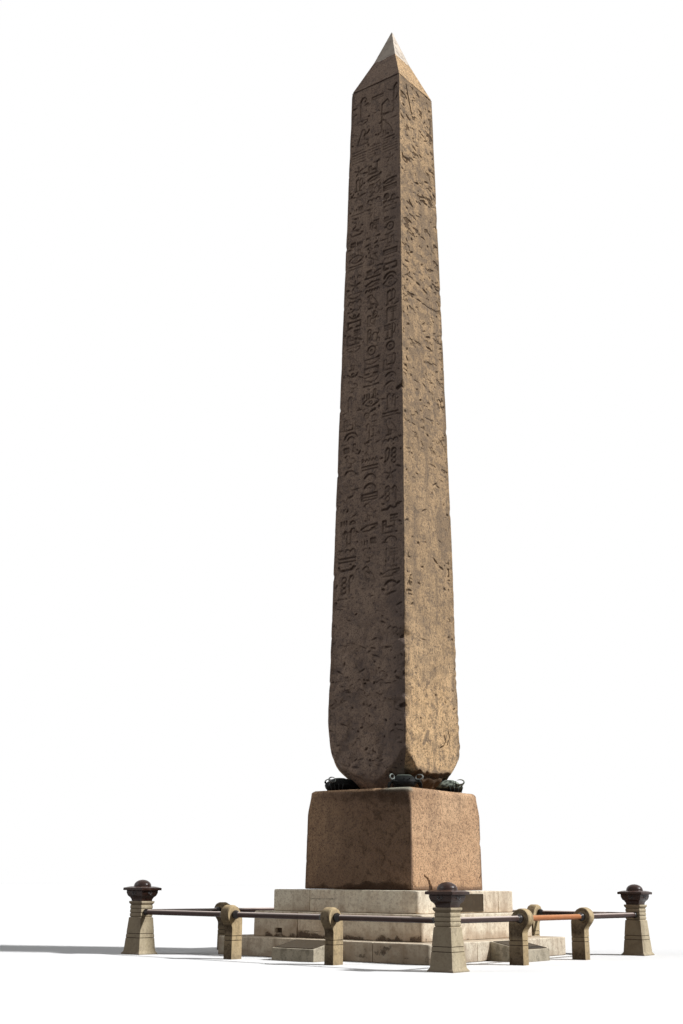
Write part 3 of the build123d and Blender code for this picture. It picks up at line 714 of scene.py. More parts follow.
# The point of the shaft is a small steep pyramid, smoother and paler above its break, where it was
# mended. A narrow groove runs round under it, on the line where the carved sides end.
point_break = 23.734
point_top = 24.806
point_rows, point_columns = 72, 26
pale_point = stone_finish(
    "pale_point_stone",
    light=(0.95, 0.85, 0.72), body=(0.86, 0.74, 0.61), dark=(0.29, 0.245, 0.215),
    fleck=(0.40, 0.32, 0.26), flecks=0.25, streaks=0.35, bump=0.006
)
groove_heights = shaft_neck + np.array((0.0, 0.004, 0.030, 0.034))
groove_depth = 0.024
heights = np.concatenate([groove_heights, np.linspace(shaft_neck + 0.05, point_top, point_rows - 4)])
half = np.interp(heights, (shaft_neck, point_break, point_top), (neck_half - 0.004, 0.362, 0.010))
half[1:3] -= groove_depth
all_points, all_faces, all_stain, all_sunk = [], [], [], []
for side in range(4):
    share = np.linspace(-1.0, 1.0, point_columns)
    x = half[:, None] * share
    z = np.repeat(heights[:, None], point_columns, axis=1)
    inner = ease(1 - np.abs(share), 0.0, 0.2)[None, :] * ease(half, 0.02, 0.2)[:, None]
    y = -(half[:, None] - 0.008 * (1 + rough(x, z, 0.35, 160 + side)) * inner)
    all_points.append(turned_round(x, y, z, side).reshape(-1, 3))
    all_faces.append(net(*x.shape) + side * x.size)
    tinted = 0.35 * patches(x, z, 0.3, 164 + side) + 0.70 * (z > point_break) * (side % 2 == 0)
    all_stain.append(tinted.ravel())
    # The groove under the point is darkened, as dirt and as painted shade in it
    all_sunk.append((0.08 * (z < shaft_neck + 0.032)).ravel())
piece = mesh_piece("shaft_point", np.concatenate(all_points), np.concatenate(all_faces), granite)
piece.data.materials.append(bleached_granite)
piece.data.materials.append(pale_point)
middles = np.empty(len(piece.data.polygons) * 3)
piece.data.polygons.foreach_get("center", middles)
middles = middles.reshape(-1, 3)
line = point_break + 0.03 * rough(middles[:, 0], middles[:, 1], 0.3, 168)
lower = (np.abs(middles[:, 0]) > np.abs(middles[:, 1])).astype(np.int32)
piece.data.polygons.foreach_set("material_index", np.where(middles[:, 2] > line, 2, lower).astype(np.int32))
give(piece, "stain_and_shade", np.concatenate(all_stain))
give(piece, "sunk", np.concatenate(all_sunk))
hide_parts("obelisk_shaft")
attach(piece, "root")

# The pedestal is one tapered block of redder granite. Its upper edges and corners are worn round, its
# arrises chipped, and below the near crab the edge is pale where the bronze has drained over it.
pedestal_foot_half, pedestal_top_half = 1.4865, 1.448


def ticks(low, high, cell, ends, extra=()):
    """Places along one edge of a block: close together at its ends, and a cell apart between."""
    count = max(2, int(round((high - low - 2 * ends[-1]) / cell)) + 1)
    inner = np.linspace(low + ends[-1], high - ends[-1], count)
    near_ends = np.array(ends[:-1])
    places = np.concatenate([low + near_ends, inner, high - near_ends, np.array(extra, float)])
    return np.unique(np.round(places, 5))


def block_net(low, high, cell, ends, extra=((), (), ())):
    """The points and faces of a closed block whose six sides are nets of small squares."""
    lines = [ticks(low[n], high[n], cell, ends, extra[n]) for n in range(3)]
    points, faces, base = [], [], 0
    for axis in range(3):
        a, b = (axis + 1) % 3, (axis + 2) % 3
        for place, flip in ((low[axis], True), (high[axis], False)):
            grid = np.zeros((len(lines[b]), len(lines[a]), 3))
            grid[..., a], grid[..., b], grid[..., axis] = lines[a][None, :], lines[b][:, None], place
            quads = net(len(lines[b]), len(lines[a]))
            faces.append((quads[:, ::-1] if flip else quads) + base)
            points.append(grid.reshape(-1, 3))
            base += grid.shape[0] * grid.shape[1]
    return np.concatenate(points), np.concatenate(faces)


def worn(points, low, high, radius, seed, hollow=0.004, chip=0.05):
    """Rounds and chips the edges of a block, and wears its faces inward a little."""
    x, y, z = points.T
    slip, slide = x + 0.37 * z, y - 0.53 * z
    chipped = ease(rough(slip, slide, 0.16, seed + 1, 3), 0.28, 0.8)
    edge = radius * (0.75 + 0.5 * patches(slip, slide, 0.5, seed)) + chip * chipped
    low, high = np.asarray(low), np.asarray(high)
    edge = np.minimum(edge, 0.49 * (high - low).min())[:, None]
    core = np.clip(points, low + edge, high - edge)
    out = points - core
    length = np.linalg.norm(out, axis=1, keepdims=True)
    out = out / np.maximum(length, 1e-9)
    sunk = hollow * (1 + rough(slip, slide, 0.45, seed + 2, 3))
    return core + out * (edge - sunk[:, None])


def rounded_in_plan(x, y, half, corner):
    """Pulls the corners of a square block in to a radius."""
    start = half - corner
    over_x, over_y = np.maximum(np.abs(x) - start, 0), np.maximum(np.abs(y) - start, 0)
    reach = np.maximum(np.hypot(over_x, over_y), 1e-6)
    pull = np.where((over_x > 0) & (over_y > 0), np.minimum(1, corner / reach), 1.0)
    return (np.where(over_x > 0, np.sign(x) * (start + over_x * pull), x),
            np.where(over_y > 0, np.sign(y) * (start + over_y * pull), y))


def merged(piece, gap=0.0004):
    """Joins the points that meet along the edges of a piece."""
    shape = bmesh.new()
    shape.from_mesh(piece.data)
    bmesh.ops.remove_doubles(shape, verts=shape.verts, dist=gap)
    shape.to_mesh(piece.data)
    shape.free()
    return piece


red_granite = stone_finish(
    "red_granite",
    light=(0.76, 0.505, 0.310), body=(0.66, 0.420, 0.250), dark=(0.100, 0.064, 0.050),
    fleck=(0.13, 0.08, 0.055), grain=23.0, flecks=0.80, mottle=0.38, streaks=0.22, bump=0.014, tatter=0.052
)
low = (-pedestal_foot_half, -pedestal_foot_half, 1.417)
high = (pedestal_foot_half, pedestal_foot_half, 3.626)
pedestal_ends = (0.0, 0.012, 0.03, 0.055, 0.085, 0.12, 0.16, 0.20)
# The scars low on the right side, with their widths; the net has closer lines about the first ones
pedestal_scars = (
    ([(-0.70, 1.425), (-0.735, 1.50)], 0.105),
    ([(-0.735, 1.50), (-0.775, 1.60)], 0.075),
    ([(-0.775, 1.60), (-0.83, 1.66)], 0.050),
    ([(-0.83, 1.66), (-0.958, 1.724)], 0.034),
    ([(-1.30, 1.47), (-1.36, 1.53), (-1.41, 1.59)], 0.030),
    ([(1.30, 1.56), (1.36, 1.70), (1.42, 1.76)], 0.020),
)
scar_depth = 0.02
lines_at_scars = ((), np.arange(-1.0, -0.62, 0.014), np.arange(1.43, 1.76, 0.014))
points, faces = block_net(low, high, 0.060, pedestal_ends, lines_at_scars)
edge_radius = 0.028 + 0.105 * ease(points[:, 2], 3.15, 3.52)
x, y, z = worn(points, low, high, edge_radius, 200, hollow=0.0045, chip=0.05).T
narrow = 1 - (z - low[2]) / (high[2] - low[2]) * (1 - pedestal_top_half / pedestal_foot_half)
scar = np.full(x.shape, uncut)
on_right = x > pedestal_foot_half - 0.03
for line, width in pedestal_scars:
    scar = np.where(on_right, np.minimum(scar, to_stroke(y, z, line) - width / 2), scar)
x, y = rounded_in_plan(x, y, pedestal_foot_half, 0.03 + 0.18 * ease(z, 3.0, 3.6))
x, y = x * narrow - scar_depth * ease(scar, 0.012, -0.012), y * narrow
piece = mesh_piece("pedestal_block", np.stack([x, y, z], axis=-1), faces, red_granite)
on_front, on_left, on_back = ease(y, -1.38, -1.44), ease(x, -1.38, -1.44), ease(y, 1.38, 1.44)
along = x + y
# Dirt in the grain: black along the foot, and darker towards the near corner and under the top
black_foot = ease(z + 0.10 * rough(along, z, 0.3, 210), 1.60, 1.465) * np.where(x > 1.40, 0.35, 1.0)
black_foot = black_foot * (0.55 + 0.45 * patches(along, z, 0.5, 217))
to_near_corner = ease(x + 0.8 * rough(x, z, 0.5, 219), -1.2, 0.6)
under_top = ease(z + 0.22 * rough(x, z, 0.45, 221), 3.12, 3.42) * ease(x, -1.35, -0.5)
dirt = 0.042 + on_front * (0.014 * to_near_corner + 0.012 * under_top) + 0.030 * black_foot
# The scars are darkened, as dirt and as painted shade in them
give(piece, "sunk", np.maximum(uncut - scar, dirt))
# The front, left and back are painted darker, as shade, the front most, with runs and blotches over all four
painted_shade = 1.22 * on_front + 0.50 * on_left + 0.80 * on_back
painted_shade = painted_shade * (0.62 + 0.38 * ease(x + 0.5 * rough(along, z * 0.3, 0.9, 215, 2), -1.3, 0.0))
painted_shade = painted_shade * (0.80 + 0.20 * ease(rough(along, z * 0.12, 0.35, 218), -0.3, 0.3))
foot_band = 0.80 * ease(z + 0.05 * rough(along, z, 0.3, 210), 1.53, 1.45)
foot_haze = 0.30 * ease(z + 0.25 * rough(x, y, 0.4, 213), 1.95, 1.45)
drips = 0.28 * ease(rough((x - y) * 0.9, z * 0.16, 0.6, 214, 2), 0.0, 0.6)
blotches = 0.25 * ease(rough(x - y, z, 0.7, 212), 0.1, 0.6)
top_blotches = 0.25 * ease(z, 3.25, 3.5) * patches(along, z, 0.3, 216)
stain_and_shade = painted_shade + foot_band + foot_haze + drips + blotches + top_blotches
give(piece, "stain_and_shade", np.clip(stain_and_shade, 0.0, 1.0))
drained = ease(0.40 - np.hypot((x - 1.10) * 0.75, (y + 1.42) * 1.8), 0.0, 0.20) * ease(z, 3.48, 3.59)
give(piece, "pale", 0.85 * drained)
merged(piece)
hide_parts("pedestal")
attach(piece, "root")

# Three courses of pale limestone steps. Each stone is its own block with fine open joints, rounded
# outer corners and chipped upper edges; dirt lies low on each course and above the lower ones.
limestone = stone_finish(
    "weathered_limestone",
    light=(0.95, 0.87, 0.70), body=(0.92, 0.80, 0.625), dark=(0.375, 0.272, 0.188),
    fleck=(0.42, 0.32, 0.235), grain=15.0, flecks=0.40, mottle=0.40, streaks=0.45, bump=0.010, tatter=0.085
)
# Each course: its foot, top, half width and corner radius; then how it has weathered: dirt and black low
# down, and runs; then its painted shade: how dark its shaded sides and its lit right side are painted
courses = (
    ("bottom_step", 0.0, 0.400, 2.8775, 0.105,
     {"dirt": 0.60, "black": 0.0, "runs": 0.65, "painted_shade_tone": 0.46, "painted_lit_tone": 0.15}),
    ("middle_step", 0.400, 0.942, 2.3065, 0.07,
     {"dirt": 0.60, "black": 1.0, "runs": 0.65, "painted_shade_tone": 0.44, "painted_lit_tone": 0.15}),
    ("top_step", 0.942, 1.416, 1.9945, 0.07,
     {"dirt": 0.45, "black": 0.15, "runs": 0.40, "painted_shade_tone": 0.0, "painted_lit_tone": 0.06}),
)
joint_half = 0.0022
# The old square socket in the middle course, and its depth
socket_left, socket_right, socket_low, socket_high, socket_depth = -1.632, -1.4445, 0.480, 0.586, 0.11
# A fine line on the middle course, from its joint to this end, and a patch let into the top course
line_end, line_level = -0.330, 0.538
patch_end, patch_foot = -0.200, 1.215
fine_half = 0.008
step_ends = (0.0, 0.005, 0.012, 0.025, 0.045, 0.075, 0.11)


def jambs(first, last):
    """Where the net has its lines at the two edges of a square hole."""
    return first - 0.002, first + 0.004, last - 0.004, last + 0.002


def about(place):
    """Where the net has its lines at a fine line."""
    return place - fine_half, place, place + fine_half


closer_lines = {
    "middle_step_left_front_stone": (jambs(socket_left, socket_right), (), jambs(socket_low, socket_high)),
    "middle_step_right_stone": ((line_end, line_end + 0.01), (), about(line_level)),
    "top_step_right_stone": (about(patch_end), (), about(patch_foot)),
}
for course, foot, top, course_half, corner_round, weather in courses:
    for node in [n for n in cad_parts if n.startswith(course)]:
        # The stone fills its node but for half a joint where it meets the next one
        box_low, box_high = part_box(node)
        low, high = list(box_low), list(box_high)
        for n in (0, 1):
            low[n] += joint_half * (abs(low[n]) < course_half - 0.01)
            high[n] -= joint_half * (abs(high[n]) < course_half - 0.01)
        seed = 220 + sum(map(ord, node)) % 60
        points, faces = block_net(low, high, 0.085, step_ends, closer_lines.get(node, ((), (), ())))
        first_x, first_y, first_z = points.T
        on_front = first_y < low[1] + 0.001
        outer = np.minimum(np.abs(first_x), np.abs(first_y)) / course_half
        edge_radius = 0.016 + 0.030 * ease(outer, 0.93, 1.0)
        x, y, z = worn(points, low, high, edge_radius, seed, hollow=0.003, chip=0.040).T
        fine_line = np.full(x.shape, uncut)
        if node == "middle_step_left_front_stone":
            in_socket = on_front & (first_x > socket_left) & (first_x < socket_right)
            in_socket &= (first_z > socket_low) & (first_z < socket_high)
            y = y + socket_depth * in_socket
            fine_line = np.where(in_socket, -0.02, uncut)
        if node == "middle_step_right_stone":
            off_line = np.abs(first_z - line_level) * 2 - fine_half
            fine_line = np.where(on_front & (first_x < line_end + 0.001), off_line, uncut)
        if node == "top_step_right_stone":
            off_patch = np.abs(np.maximum(first_x - patch_end, patch_foot - first_z)) * 2 - fine_half
            fine_line = np.where(on_front, off_patch, uncut)
        x, y = rounded_in_plan(x, y, course_half, corner_round)
        piece = mesh_piece(node + "_worn", np.stack([x, y, z], axis=-1), faces, limestone)
        outwards = np.maximum(np.abs(x), np.abs(y)) - course_half
        side_face = outwards > -0.04
        height, along = (z - foot) / (top - foot), x + y
        dirt = weather["dirt"] * ease(height + 0.5 * rough(along, z * 0.3, 0.35, seed + 5), 0.40, 0.02)
        runs = weather["runs"] * ease(rough((x - y) * 1.8, z * 0.30, 0.40, seed + 6), 0.10, 0.6)
        black = 0.85 * ease(height + 0.24 * rough(along, z * 0.5, 0.20, seed + 9), 0.24, 0.0) * side_face
        black = black * weather["black"] * ease(patches(along, 0 * z, 0.9, seed + 10), 0.15, 0.45)
        black = black * np.where(x > 0.99 * course_half, 0.25, 1.0)
        # Each stone has its own random tone, and then painted shade by the side it faces, as the table gives
        tone_and_painted_shade = 0.12 * np.random.default_rng(seed).random()
        tone_and_painted_shade = tone_and_painted_shade + np.where(x > 0.985 * course_half, weather["painted_lit_tone"], weather["painted_shade_tone"])
        if course == "bottom_step":
            # Its front is darker and blotched towards the near corner
            front_face = y < -0.985 * course_half
            by_corner = front_face * ease(x, -1.2, 1.6)
            tone_and_painted_shade = tone_and_painted_shade + by_corner * 0.36 - 0.14 * front_face
            blotches = ease(rough((x - y) * 0.9, z * 1.5, 0.34, seed + 11, 4), -0.05, 0.30)
            black = np.maximum(black, 0.50 * by_corner * blotches * ease(height, 0.97, 0.80))
        ledge = 0.30 * ease(patches(x, y, 0.4, seed + 7), 0.35, 0.8) * (z > top - 0.01)
        ledge = ledge * ease(outwards, -0.10, -0.22)
        # The top of each side face is left clean: rubbed, and a painted highlight along the edge
        rubbed_and_highlit = 1 - 0.9 * ease(height, 0.93, 0.99) * side_face
        stain_and_shade = (tone_and_painted_shade + (dirt + runs) * side_face + black) * rubbed_and_highlit + ledge
        give(piece, "stain_and_shade", np.clip(stain_and_shade, 0.0, 1.0))
        # Dark in the socket, as dirt and painted shade; dark along the fine lines and where the stone is
        # black
        give(piece, "sunk", np.maximum(uncut - fine_line, 0.034 + 0.046 * black / 0.85))
        merged(piece)
        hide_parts(node)
        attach(piece, "root")

# The crabs are cast bronze, gone near black, with pale rubbed claws, and green on the far one, whose upper
# parts are also painted pale as lit. Each has a domed shell that the shaft bears on, eight bent legs, and two
# claws that nearly close.
crab_out = 1.415
crab_level = 3.628
shell_high = 0.300


def tree_for(name, sizes):
    """An empty Geometry Nodes tree with named inputs, and those inputs."""
    tree = bpy.data.node_groups.new(name, "GeometryNodeTree")
    for size, kind in (("Geometry", "Geometry"), *sizes, ("Finish", "Material")):
        tree.interface.new_socket(size, in_out="INPUT", socket_type="NodeSocket" + kind)
    tree.interface.new_socket("Geometry", in_out="OUTPUT", socket_type="NodeSocketGeometry")
    return tree, add(tree, "NodeGroupInput").outputs


def plain_mesh(name, piece, tree, shape, given, **values):
    """Ends a tree with real copies in their finish, and turns a piece into what the tree makes of it."""
    real = add(tree, "GeometryNodeRealizeInstances", {0: shape})
    painted = add(tree, "GeometryNodeSetMaterial", {"Geometry": real.outputs[0], "Material": given["Finish"]})
    add(tree, "NodeGroupOutput", {0: painted.outputs[0]})
    worker = piece.modifiers.new(tree.name, "NODES")
    worker.node_group = tree
    for socket in tree.interface.items_tree:
        if socket.in_out == "INPUT" and socket.name in values:
            worker[socket.identifier] = values[socket.name]
    made = bpy.data.meshes.new_from_object(piece.evaluated_get(bpy.context.evaluated_depsgraph_get()))
    made.name = name
    whole = bpy.data.objects.new(name, made)
    bpy.context.collection.objects.link(whole)
    bpy.data.objects.remove(piece, do_unlink=True)
    return whole


def round_the_square(name, piece, material, start=0.0):
    """Copies a piece to all four sides with nodes, and returns the copies as one plain mesh."""
    tree, given = tree_for(name + "_round_the_square", (("Copies", "Int"), ("Start", "Float")))
    spots = add(tree, "GeometryNodePoints", {"Count": given["Copies"]})
    number = add(tree, "GeometryNodeInputIndex")
    part = maths(tree, "DIVIDE", number.outputs[0], given["Copies"])
    angle = maths(tree, "MULTIPLY_ADD", part, 2 * math.pi, given["Start"])
    facing = add(tree, "CombineXYZ", {"Z": angle})
    copies = add(tree, "GeometryNodeInstanceOnPoints", {
        "Points": spots.outputs[0], "Instance": given["Geometry"], "Rotation": facing.outputs[0]
    })
    return plain_mesh(name, piece, tree, copies.outputs[0], given, Copies=4, Start=start, Finish=material)


def swept(name, lines, sides, steps, material):
    """Bent round bars along smooth lines, each point with its own thickness, made with nodes."""
    curve = bpy.data.curves.new(name, "CURVE")
    curve.dimensions = "3D"
    for points, widths in lines:
        line = curve.splines.new("NURBS")
        line.points.add(len(points) - 1)
        for spot, place, width in zip(line.points, points, widths):
            spot.co = (*place, 1.0)
            spot.radius = width / 2
        line.order_u = 3
        line.use_endpoint_u = True
    holder = bpy.data.objects.new(name, curve)
    bpy.context.collection.objects.link(holder)
    tree, given = tree_for(name, (("Sides", "Int"), ("Steps", "Int")))
    even = add(tree, "GeometryNodeResampleCurve", {"Curve": given["Geometry"], "Count": given["Steps"]})
    circle = add(tree, "GeometryNodeCurvePrimitiveCircle", {"Resolution": given["Sides"], "Radius": 1.0})
    thickness = add(tree, "GeometryNodeInputRadius")
    bars = add(tree, "GeometryNodeCurveToMesh", {
        "Curve": even.outputs[0], "Profile Curve": circle.outputs[0],
        "Scale": thickness.outputs[0], "Fill Caps": True
    })
    made = plain_mesh(name, holder, tree, bars.outputs[0], given, Sides=sides, Steps=steps, Finish=material)
    made.data.polygons.foreach_set("use_smooth", np.full(len(made.data.polygons), True))
    return made


def ring_faces(rings, count, base=0, outside_in=False):
    """The faces between rings that have that many points each, the first of them at the base."""
    faces = []
    for ring in range(rings - 1):
        for n in range(count):
            here, follow = base + ring * count + n, base + ring * count + (n + 1) % count
            if outside_in:
                faces.append((here, here + count, follow + count, follow))
            else:
                faces.append((here, follow, follow + count, here + count))
    return faces


def close_ring(body, first, count, downwards=False):
    """Closes one ring of a mesh with a face."""
    body.verts.ensure_lookup_table()
    ring = [body.verts[first + n] for n in range(count)]
    body.faces.new(ring[::-1] if downwards else ring)


def places_of(piece):
    """The x, y and z of all points of a piece."""
    places = np.empty(len(piece.data.vertices) * 3)
    piece.data.vertices.foreach_get("co", places)
    return places.reshape(-1, 3).T


verdigris = (0.30, 0.34, 0.28, 1.0)


def metal_finish(
    name, body, worn_colour, patina_and_highlight, patina_share, metallic, roughness,
    grain=18.0, bump=0.003, top_patina_and_highlight=0.25, shine=0.25, top=(0.40, 0.95)
):
    """Cast metal with a patchy skin: worn where it stands proud, patina in drifts, and a paler coat on what
    faces up: patina, and on the pipes a painted highlight.
    """
    made, tree, shader = finish(name)
    place = add(tree, "TexCoord").outputs["Object"]
    cloud, fine = noise(tree, place, grain, 6.0, 0.65), noise(tree, place, grain * 9, 3.0)
    drift = noise(tree, place, 2.4, 5.0, 0.6)
    drift_low, drift_high = 0.62 - 0.3 * patina_share, 0.78 - 0.3 * patina_share
    up = add(tree, "SeparateXYZ", {0: add(tree, "NewGeometry").outputs["Normal"]}).outputs["Z"]
    colour, patina_and_highlight = (*body, 1.0), (*patina_and_highlight, 1.0)
    for coat, share in (
        ((*worn_colour, 1.0), band(tree, cloud, 0.45, 0.75)),
        (patina_and_highlight, band(tree, drift, drift_low, drift_high, patina_share)),
        (patina_and_highlight, band(tree, up, *top, top_patina_and_highlight)),
        (verdigris, add(tree, "Attribute", attribute_name="verdigris_and_painted_light").outputs["Fac"]),
    ):
        colour = over(tree, colour, coat, share)
    sheen = add(tree, "MapRange", {0: cloud, 1: 0.3, 2: 0.7, 3: roughness, 4: roughness + 0.22})
    bumps = add(tree, "Bump", {"Strength": 0.7, "Distance": bump, "Height": maths(tree, "ADD", cloud, fine)})
    tree.links.new(colour, shader.inputs["Base Color"])
    tree.links.new(sheen.outputs[0], shader.inputs["Roughness"])
    tree.links.new(bumps.outputs[0], shader.inputs["Normal"])
    shader.inputs["Metallic"].default_value = metallic
    shader.inputs["Specular IOR Level"].default_value = shine
    return made


crab_bronze = metal_finish(
    "crab_bronze", (0.010, 0.010, 0.010), (0.019, 0.020, 0.019), (0.030, 0.034, 0.032),
    patina_share=0.25, metallic=0.10, roughness=0.46, grain=14.0, top_patina_and_highlight=0.4, shine=0.07
)
rubbed_bronze = metal_finish(
    "rubbed_bronze", (0.17, 0.18, 0.175), (0.42, 0.43, 0.40), (0.26, 0.32, 0.28),
    patina_share=0.4, metallic=0.25, roughness=0.40, grain=20.0
)
# The shell from its foot to its top: share of the height, lean inwards, half length and half width
shell_outline = (
    (0.0, 0.0, 0.165, 0.174), (0.22, 0.0, 0.222, 0.240), (0.45, 0.0, 0.249, 0.279),
    (0.62, -0.015, 0.235, 0.266), (0.84, -0.055, 0.185, 0.218), (1.0, -0.105, 0.125, 0.158),
)
shell_rings, shell_turns = 26, 64
section, lean_in, half_long, half_wide = zip(*shell_outline)
levels = np.linspace(0.0, 1.0, shell_rings)
middle = np.interp(levels, section, lean_in) + crab_out
long = np.interp(levels, section, half_long)
wide = np.interp(levels, section, half_wide)
for values in (middle, long, wide):
    values[1:-1] = (values[:-2] + 2 * values[1:-1] + values[2:]) / 4
middle, long, wide, levels = middle[:, None], long[:, None], wide[:, None], levels[:, None]
turns = np.linspace(0, 2 * math.pi, shell_turns, endpoint=False)
ridge = 1 - 0.018 * (1 + np.cos(11 * turns)) * ease(levels, 0.25, 0.45) * ease(levels, 0.75, 0.5)
groove = 1 - 0.03 * np.exp(-((np.abs(np.sin(turns)) - 0.35) / 0.10) ** 2) * ease(levels, 0.5, 0.8)
# Low down the back reaches in under the stone, to carry it
to_back = np.where(np.cos(turns) < 0, np.maximum(2.2, 0.62 / long), 1.0)
inward = to_back * ease(levels, 1.0, 0.8) + ease(levels, 0.8, 1.0)
x = middle + long * np.cos(turns) * ridge * groove * inward
y = wide * np.sin(turns) * ridge * groove
z = crab_level - 0.004 + levels * (shell_high + 0.001) + 0 * turns
quads = ring_faces(shell_rings, shell_turns)
shell = mesh_piece("crab_shell", np.stack([x, y, z], axis=-1), quads, crab_bronze)
body = bmesh.new()
body.from_mesh(shell.data)
close_ring(body, 0, shell_turns, downwards=True)
close_ring(body, (shell_rings - 1) * shell_turns, shell_turns)
for hand in (-1, 1):
    eye_ball = bmesh.ops.create_icosphere(body, subdivisions=3, radius=0.017)
    socket_place = (crab_out + 0.232, hand * 0.062, crab_level + 0.200)
    bmesh.ops.translate(body, verts=eye_ball["verts"], vec=socket_place)
for face in body.faces:
    face.smooth = True
body.to_mesh(shell.data)
body.free()
# The joints of a leg, an eye stalk and an arm: outwards, sideways and upwards from the crab's middle,
# with their thickness there; the legs spread from their middle by the first number
leg_joints = (
    (0.310, 0.16, 0.118), (0.310, 0.27, 0.140), (0.310, 0.335, 0.130),
    (0.275, 0.362, 0.065), (0.250, 0.372, -0.006)
)
leg_widths = (0.044, 0.046, 0.040, 0.030, 0.016)
stalk, stalk_widths = ((0.19, 0.05, 0.16), (0.232, 0.062, 0.195)), (0.022, 0.018)
arm, arm_widths = ((0.03, 0.145, 0.138), (0.055, 0.22, 0.135), (0.10, 0.312, 0.176)), (0.062, 0.058, 0.050)
# The two fingers of a claw follow one flattened ring, which they nearly close between them
fingers = (
    ((-100, -62, -24, 14, 52, 90, 126), (0.044, 0.042, 0.037, 0.032, 0.028, 0.022, 0.012)),
    ((-80, -115, -150, -182, -216), (0.040, 0.038, 0.033, 0.026, 0.012)),
)
claw_radius = 0.074


def on_crab(hand, places):
    """Places of one crab, from how far outwards, sideways and upwards of its middle they lie."""
    return [(crab_out + out, hand * sideways, crab_level + rise) for out, sideways, rise in places]


def on_claw(angle):
    """A place on the ring of a claw, which is drawn out forwards."""
    off, rise = claw_radius * math.cos(math.radians(angle)), claw_radius * math.sin(math.radians(angle))
    return 0.105 + 1.25 * off, 0.312 + 0.92 * off, 0.238 + 0.84 * rise


legs, claws = [], []
for hand in (-1, 1):
    for along in (-1 / 2, -1 / 6, 1 / 6, 1 / 2):
        bends = [(spread * along, sideways, rise) for spread, sideways, rise in leg_joints]
        legs.append((on_crab(hand, bends), leg_widths))
    legs.append((on_crab(hand, stalk), stalk_widths))
    legs.append((on_crab(hand, arm), arm_widths))
    for angles, widths in fingers:
        claws.append((on_crab(hand, [on_claw(angle) for angle in angles]), widths))
leg_bars = swept("crab_leg_bars", legs, 12, 14, crab_bronze)
claw_bars = swept("crab_claw_bars", claws, 16, 22, rubbed_bronze)
to_corner = math.radians(-45)
shells = round_the_square("crab_shells", shell, crab_bronze, to_corner)
crab_legs = round_the_square("crab_legs", leg_bars, crab_bronze, to_corner)
crab_claws = round_the_square("crab_claws", claw_bars, rubbed_bronze, to_corner)
for piece in (shells, crab_legs, crab_claws):
    x, y, z = places_of(piece)
    rise = z - crab_level
    # Green patina in patches on the far crab's upper parts, also painted pale as light falls there, and on
    # the tops of all shells
    patchy = 0.10 + 0.90 * ease(patches(x * 1.4 + y, z, 0.035, 270), 0.30, 0.62)
    verdigris_and_painted_light = patchy * ease(rise, 0.07, 0.17) * ease(np.minimum(x, y), 0.3, 0.6)
    if piece is shells:
        verdigris_and_painted_light = verdigris_and_painted_light + 0.55 * ease(rise, 0.27, 0.296)
    give(piece, "verdigris_and_painted_light", verdigris_and_painted_light)
    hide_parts(*[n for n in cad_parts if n.startswith("crab_")])
    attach(piece, "root")

# The corner piers are cut from single stones: a flared foot, battered sides with two fine grooves,
# and a neck of three flat rolls under a thin ledge. The caps sit on them.
pier_out = 4.0855
railing_stone = stone_finish(
    "railing_stone",
    light=(0.62, 0.530, 0.370), body=(0.54, 0.445, 0.290), dark=(0.21, 0.162, 0.124),
    fleck=(0.34, 0.28, 0.19), grain=18.0, flecks=0.40, mottle=0.35, streaks=0.42, bump=0.007
)


def moulded(name, profile, material, corner, middle):
    """A closed square block that follows one moulded profile of half widths and heights."""
    corner_steps = np.linspace(0, 90, 5)
    count = 4 * len(corner_steps)
    points = []
    for half, level in profile:
        round_off = min(corner, 0.45 * half)
        for number, (side_x, side_y) in enumerate(((1, -1), (1, 1), (-1, 1), (-1, -1))):
            centre_x = middle[0] + side_x * (half - round_off)
            centre_y = middle[1] + side_y * (half - round_off)
            for angle in np.radians(corner_steps + 90 * number - 90):
                across, along = round_off * math.cos(angle), round_off * math.sin(angle)
                points.append((centre_x + across, centre_y + along, level))
    piece = mesh_piece(name, points, ring_faces(len(profile), count), material)
    body = bmesh.new()
    body.from_mesh(piece.data)
    close_ring(body, 0, count, downwards=True)
    close_ring(body, (len(profile) - 1) * count, count)
    body.to_mesh(piece.data)
    body.free()
    return piece


def flat_shaded_edges(piece, angle):
    """Smooth shading that still breaks at the sharper edges."""
    piece.data.shade_smooth()
    body = bmesh.new()
    body.from_mesh(piece.data)
    limit = math.radians(angle)
    for edge in body.edges:
        edge.smooth = len(edge.link_faces) != 2 or edge.calc_face_angle(0.0) < limit
    body.to_mesh(piece.data)
    body.free()


def batter_half(level):
    """Half the width of a pier's battered sides at a height."""
    return 0.2495 - 0.056 * (level - 0.08) / 0.696


groove_levels, groove_sunk = (0.350, 0.440), 0.009
roll_foot, roll_height, rolls = 0.792, 0.084, 3
profile = [
    (0.286, 0.0), (0.288, 0.004), (0.288, 0.018), (0.285, 0.026),
    (0.272, 0.040), (0.258, 0.058), (0.2495, 0.080),
]
for groove_level in groove_levels:
    for offset, sunk in ((-0.0075, 0.0), (-0.0055, groove_sunk), (0.0055, groove_sunk), (0.0075, 0.0)):
        level = groove_level + offset
        profile.append((batter_half(level) - sunk, level))
profile += [(0.1935, 0.776), (0.184, 0.7795), (0.1715, 0.785), (0.1695, roll_foot)]
for roll in range(rolls):
    for half, rise in (
        (0.1695, 0.001), (0.1775, 0.010), (0.1812, 0.022), (0.1812, 0.062), (0.1775, 0.074), (0.1695, 0.083),
    ):
        profile.append((half, roll_foot + roll_height * roll + rise))
profile += [
    (0.1695, 1.045), (0.176, 1.055), (0.196, 1.082), (0.2025, 1.090), (0.2038, 1.095), (0.2038, 1.122),
    (0.2010, 1.129),
]
pier = moulded("pier", profile, railing_stone, 0.012, (pier_out, -pier_out))
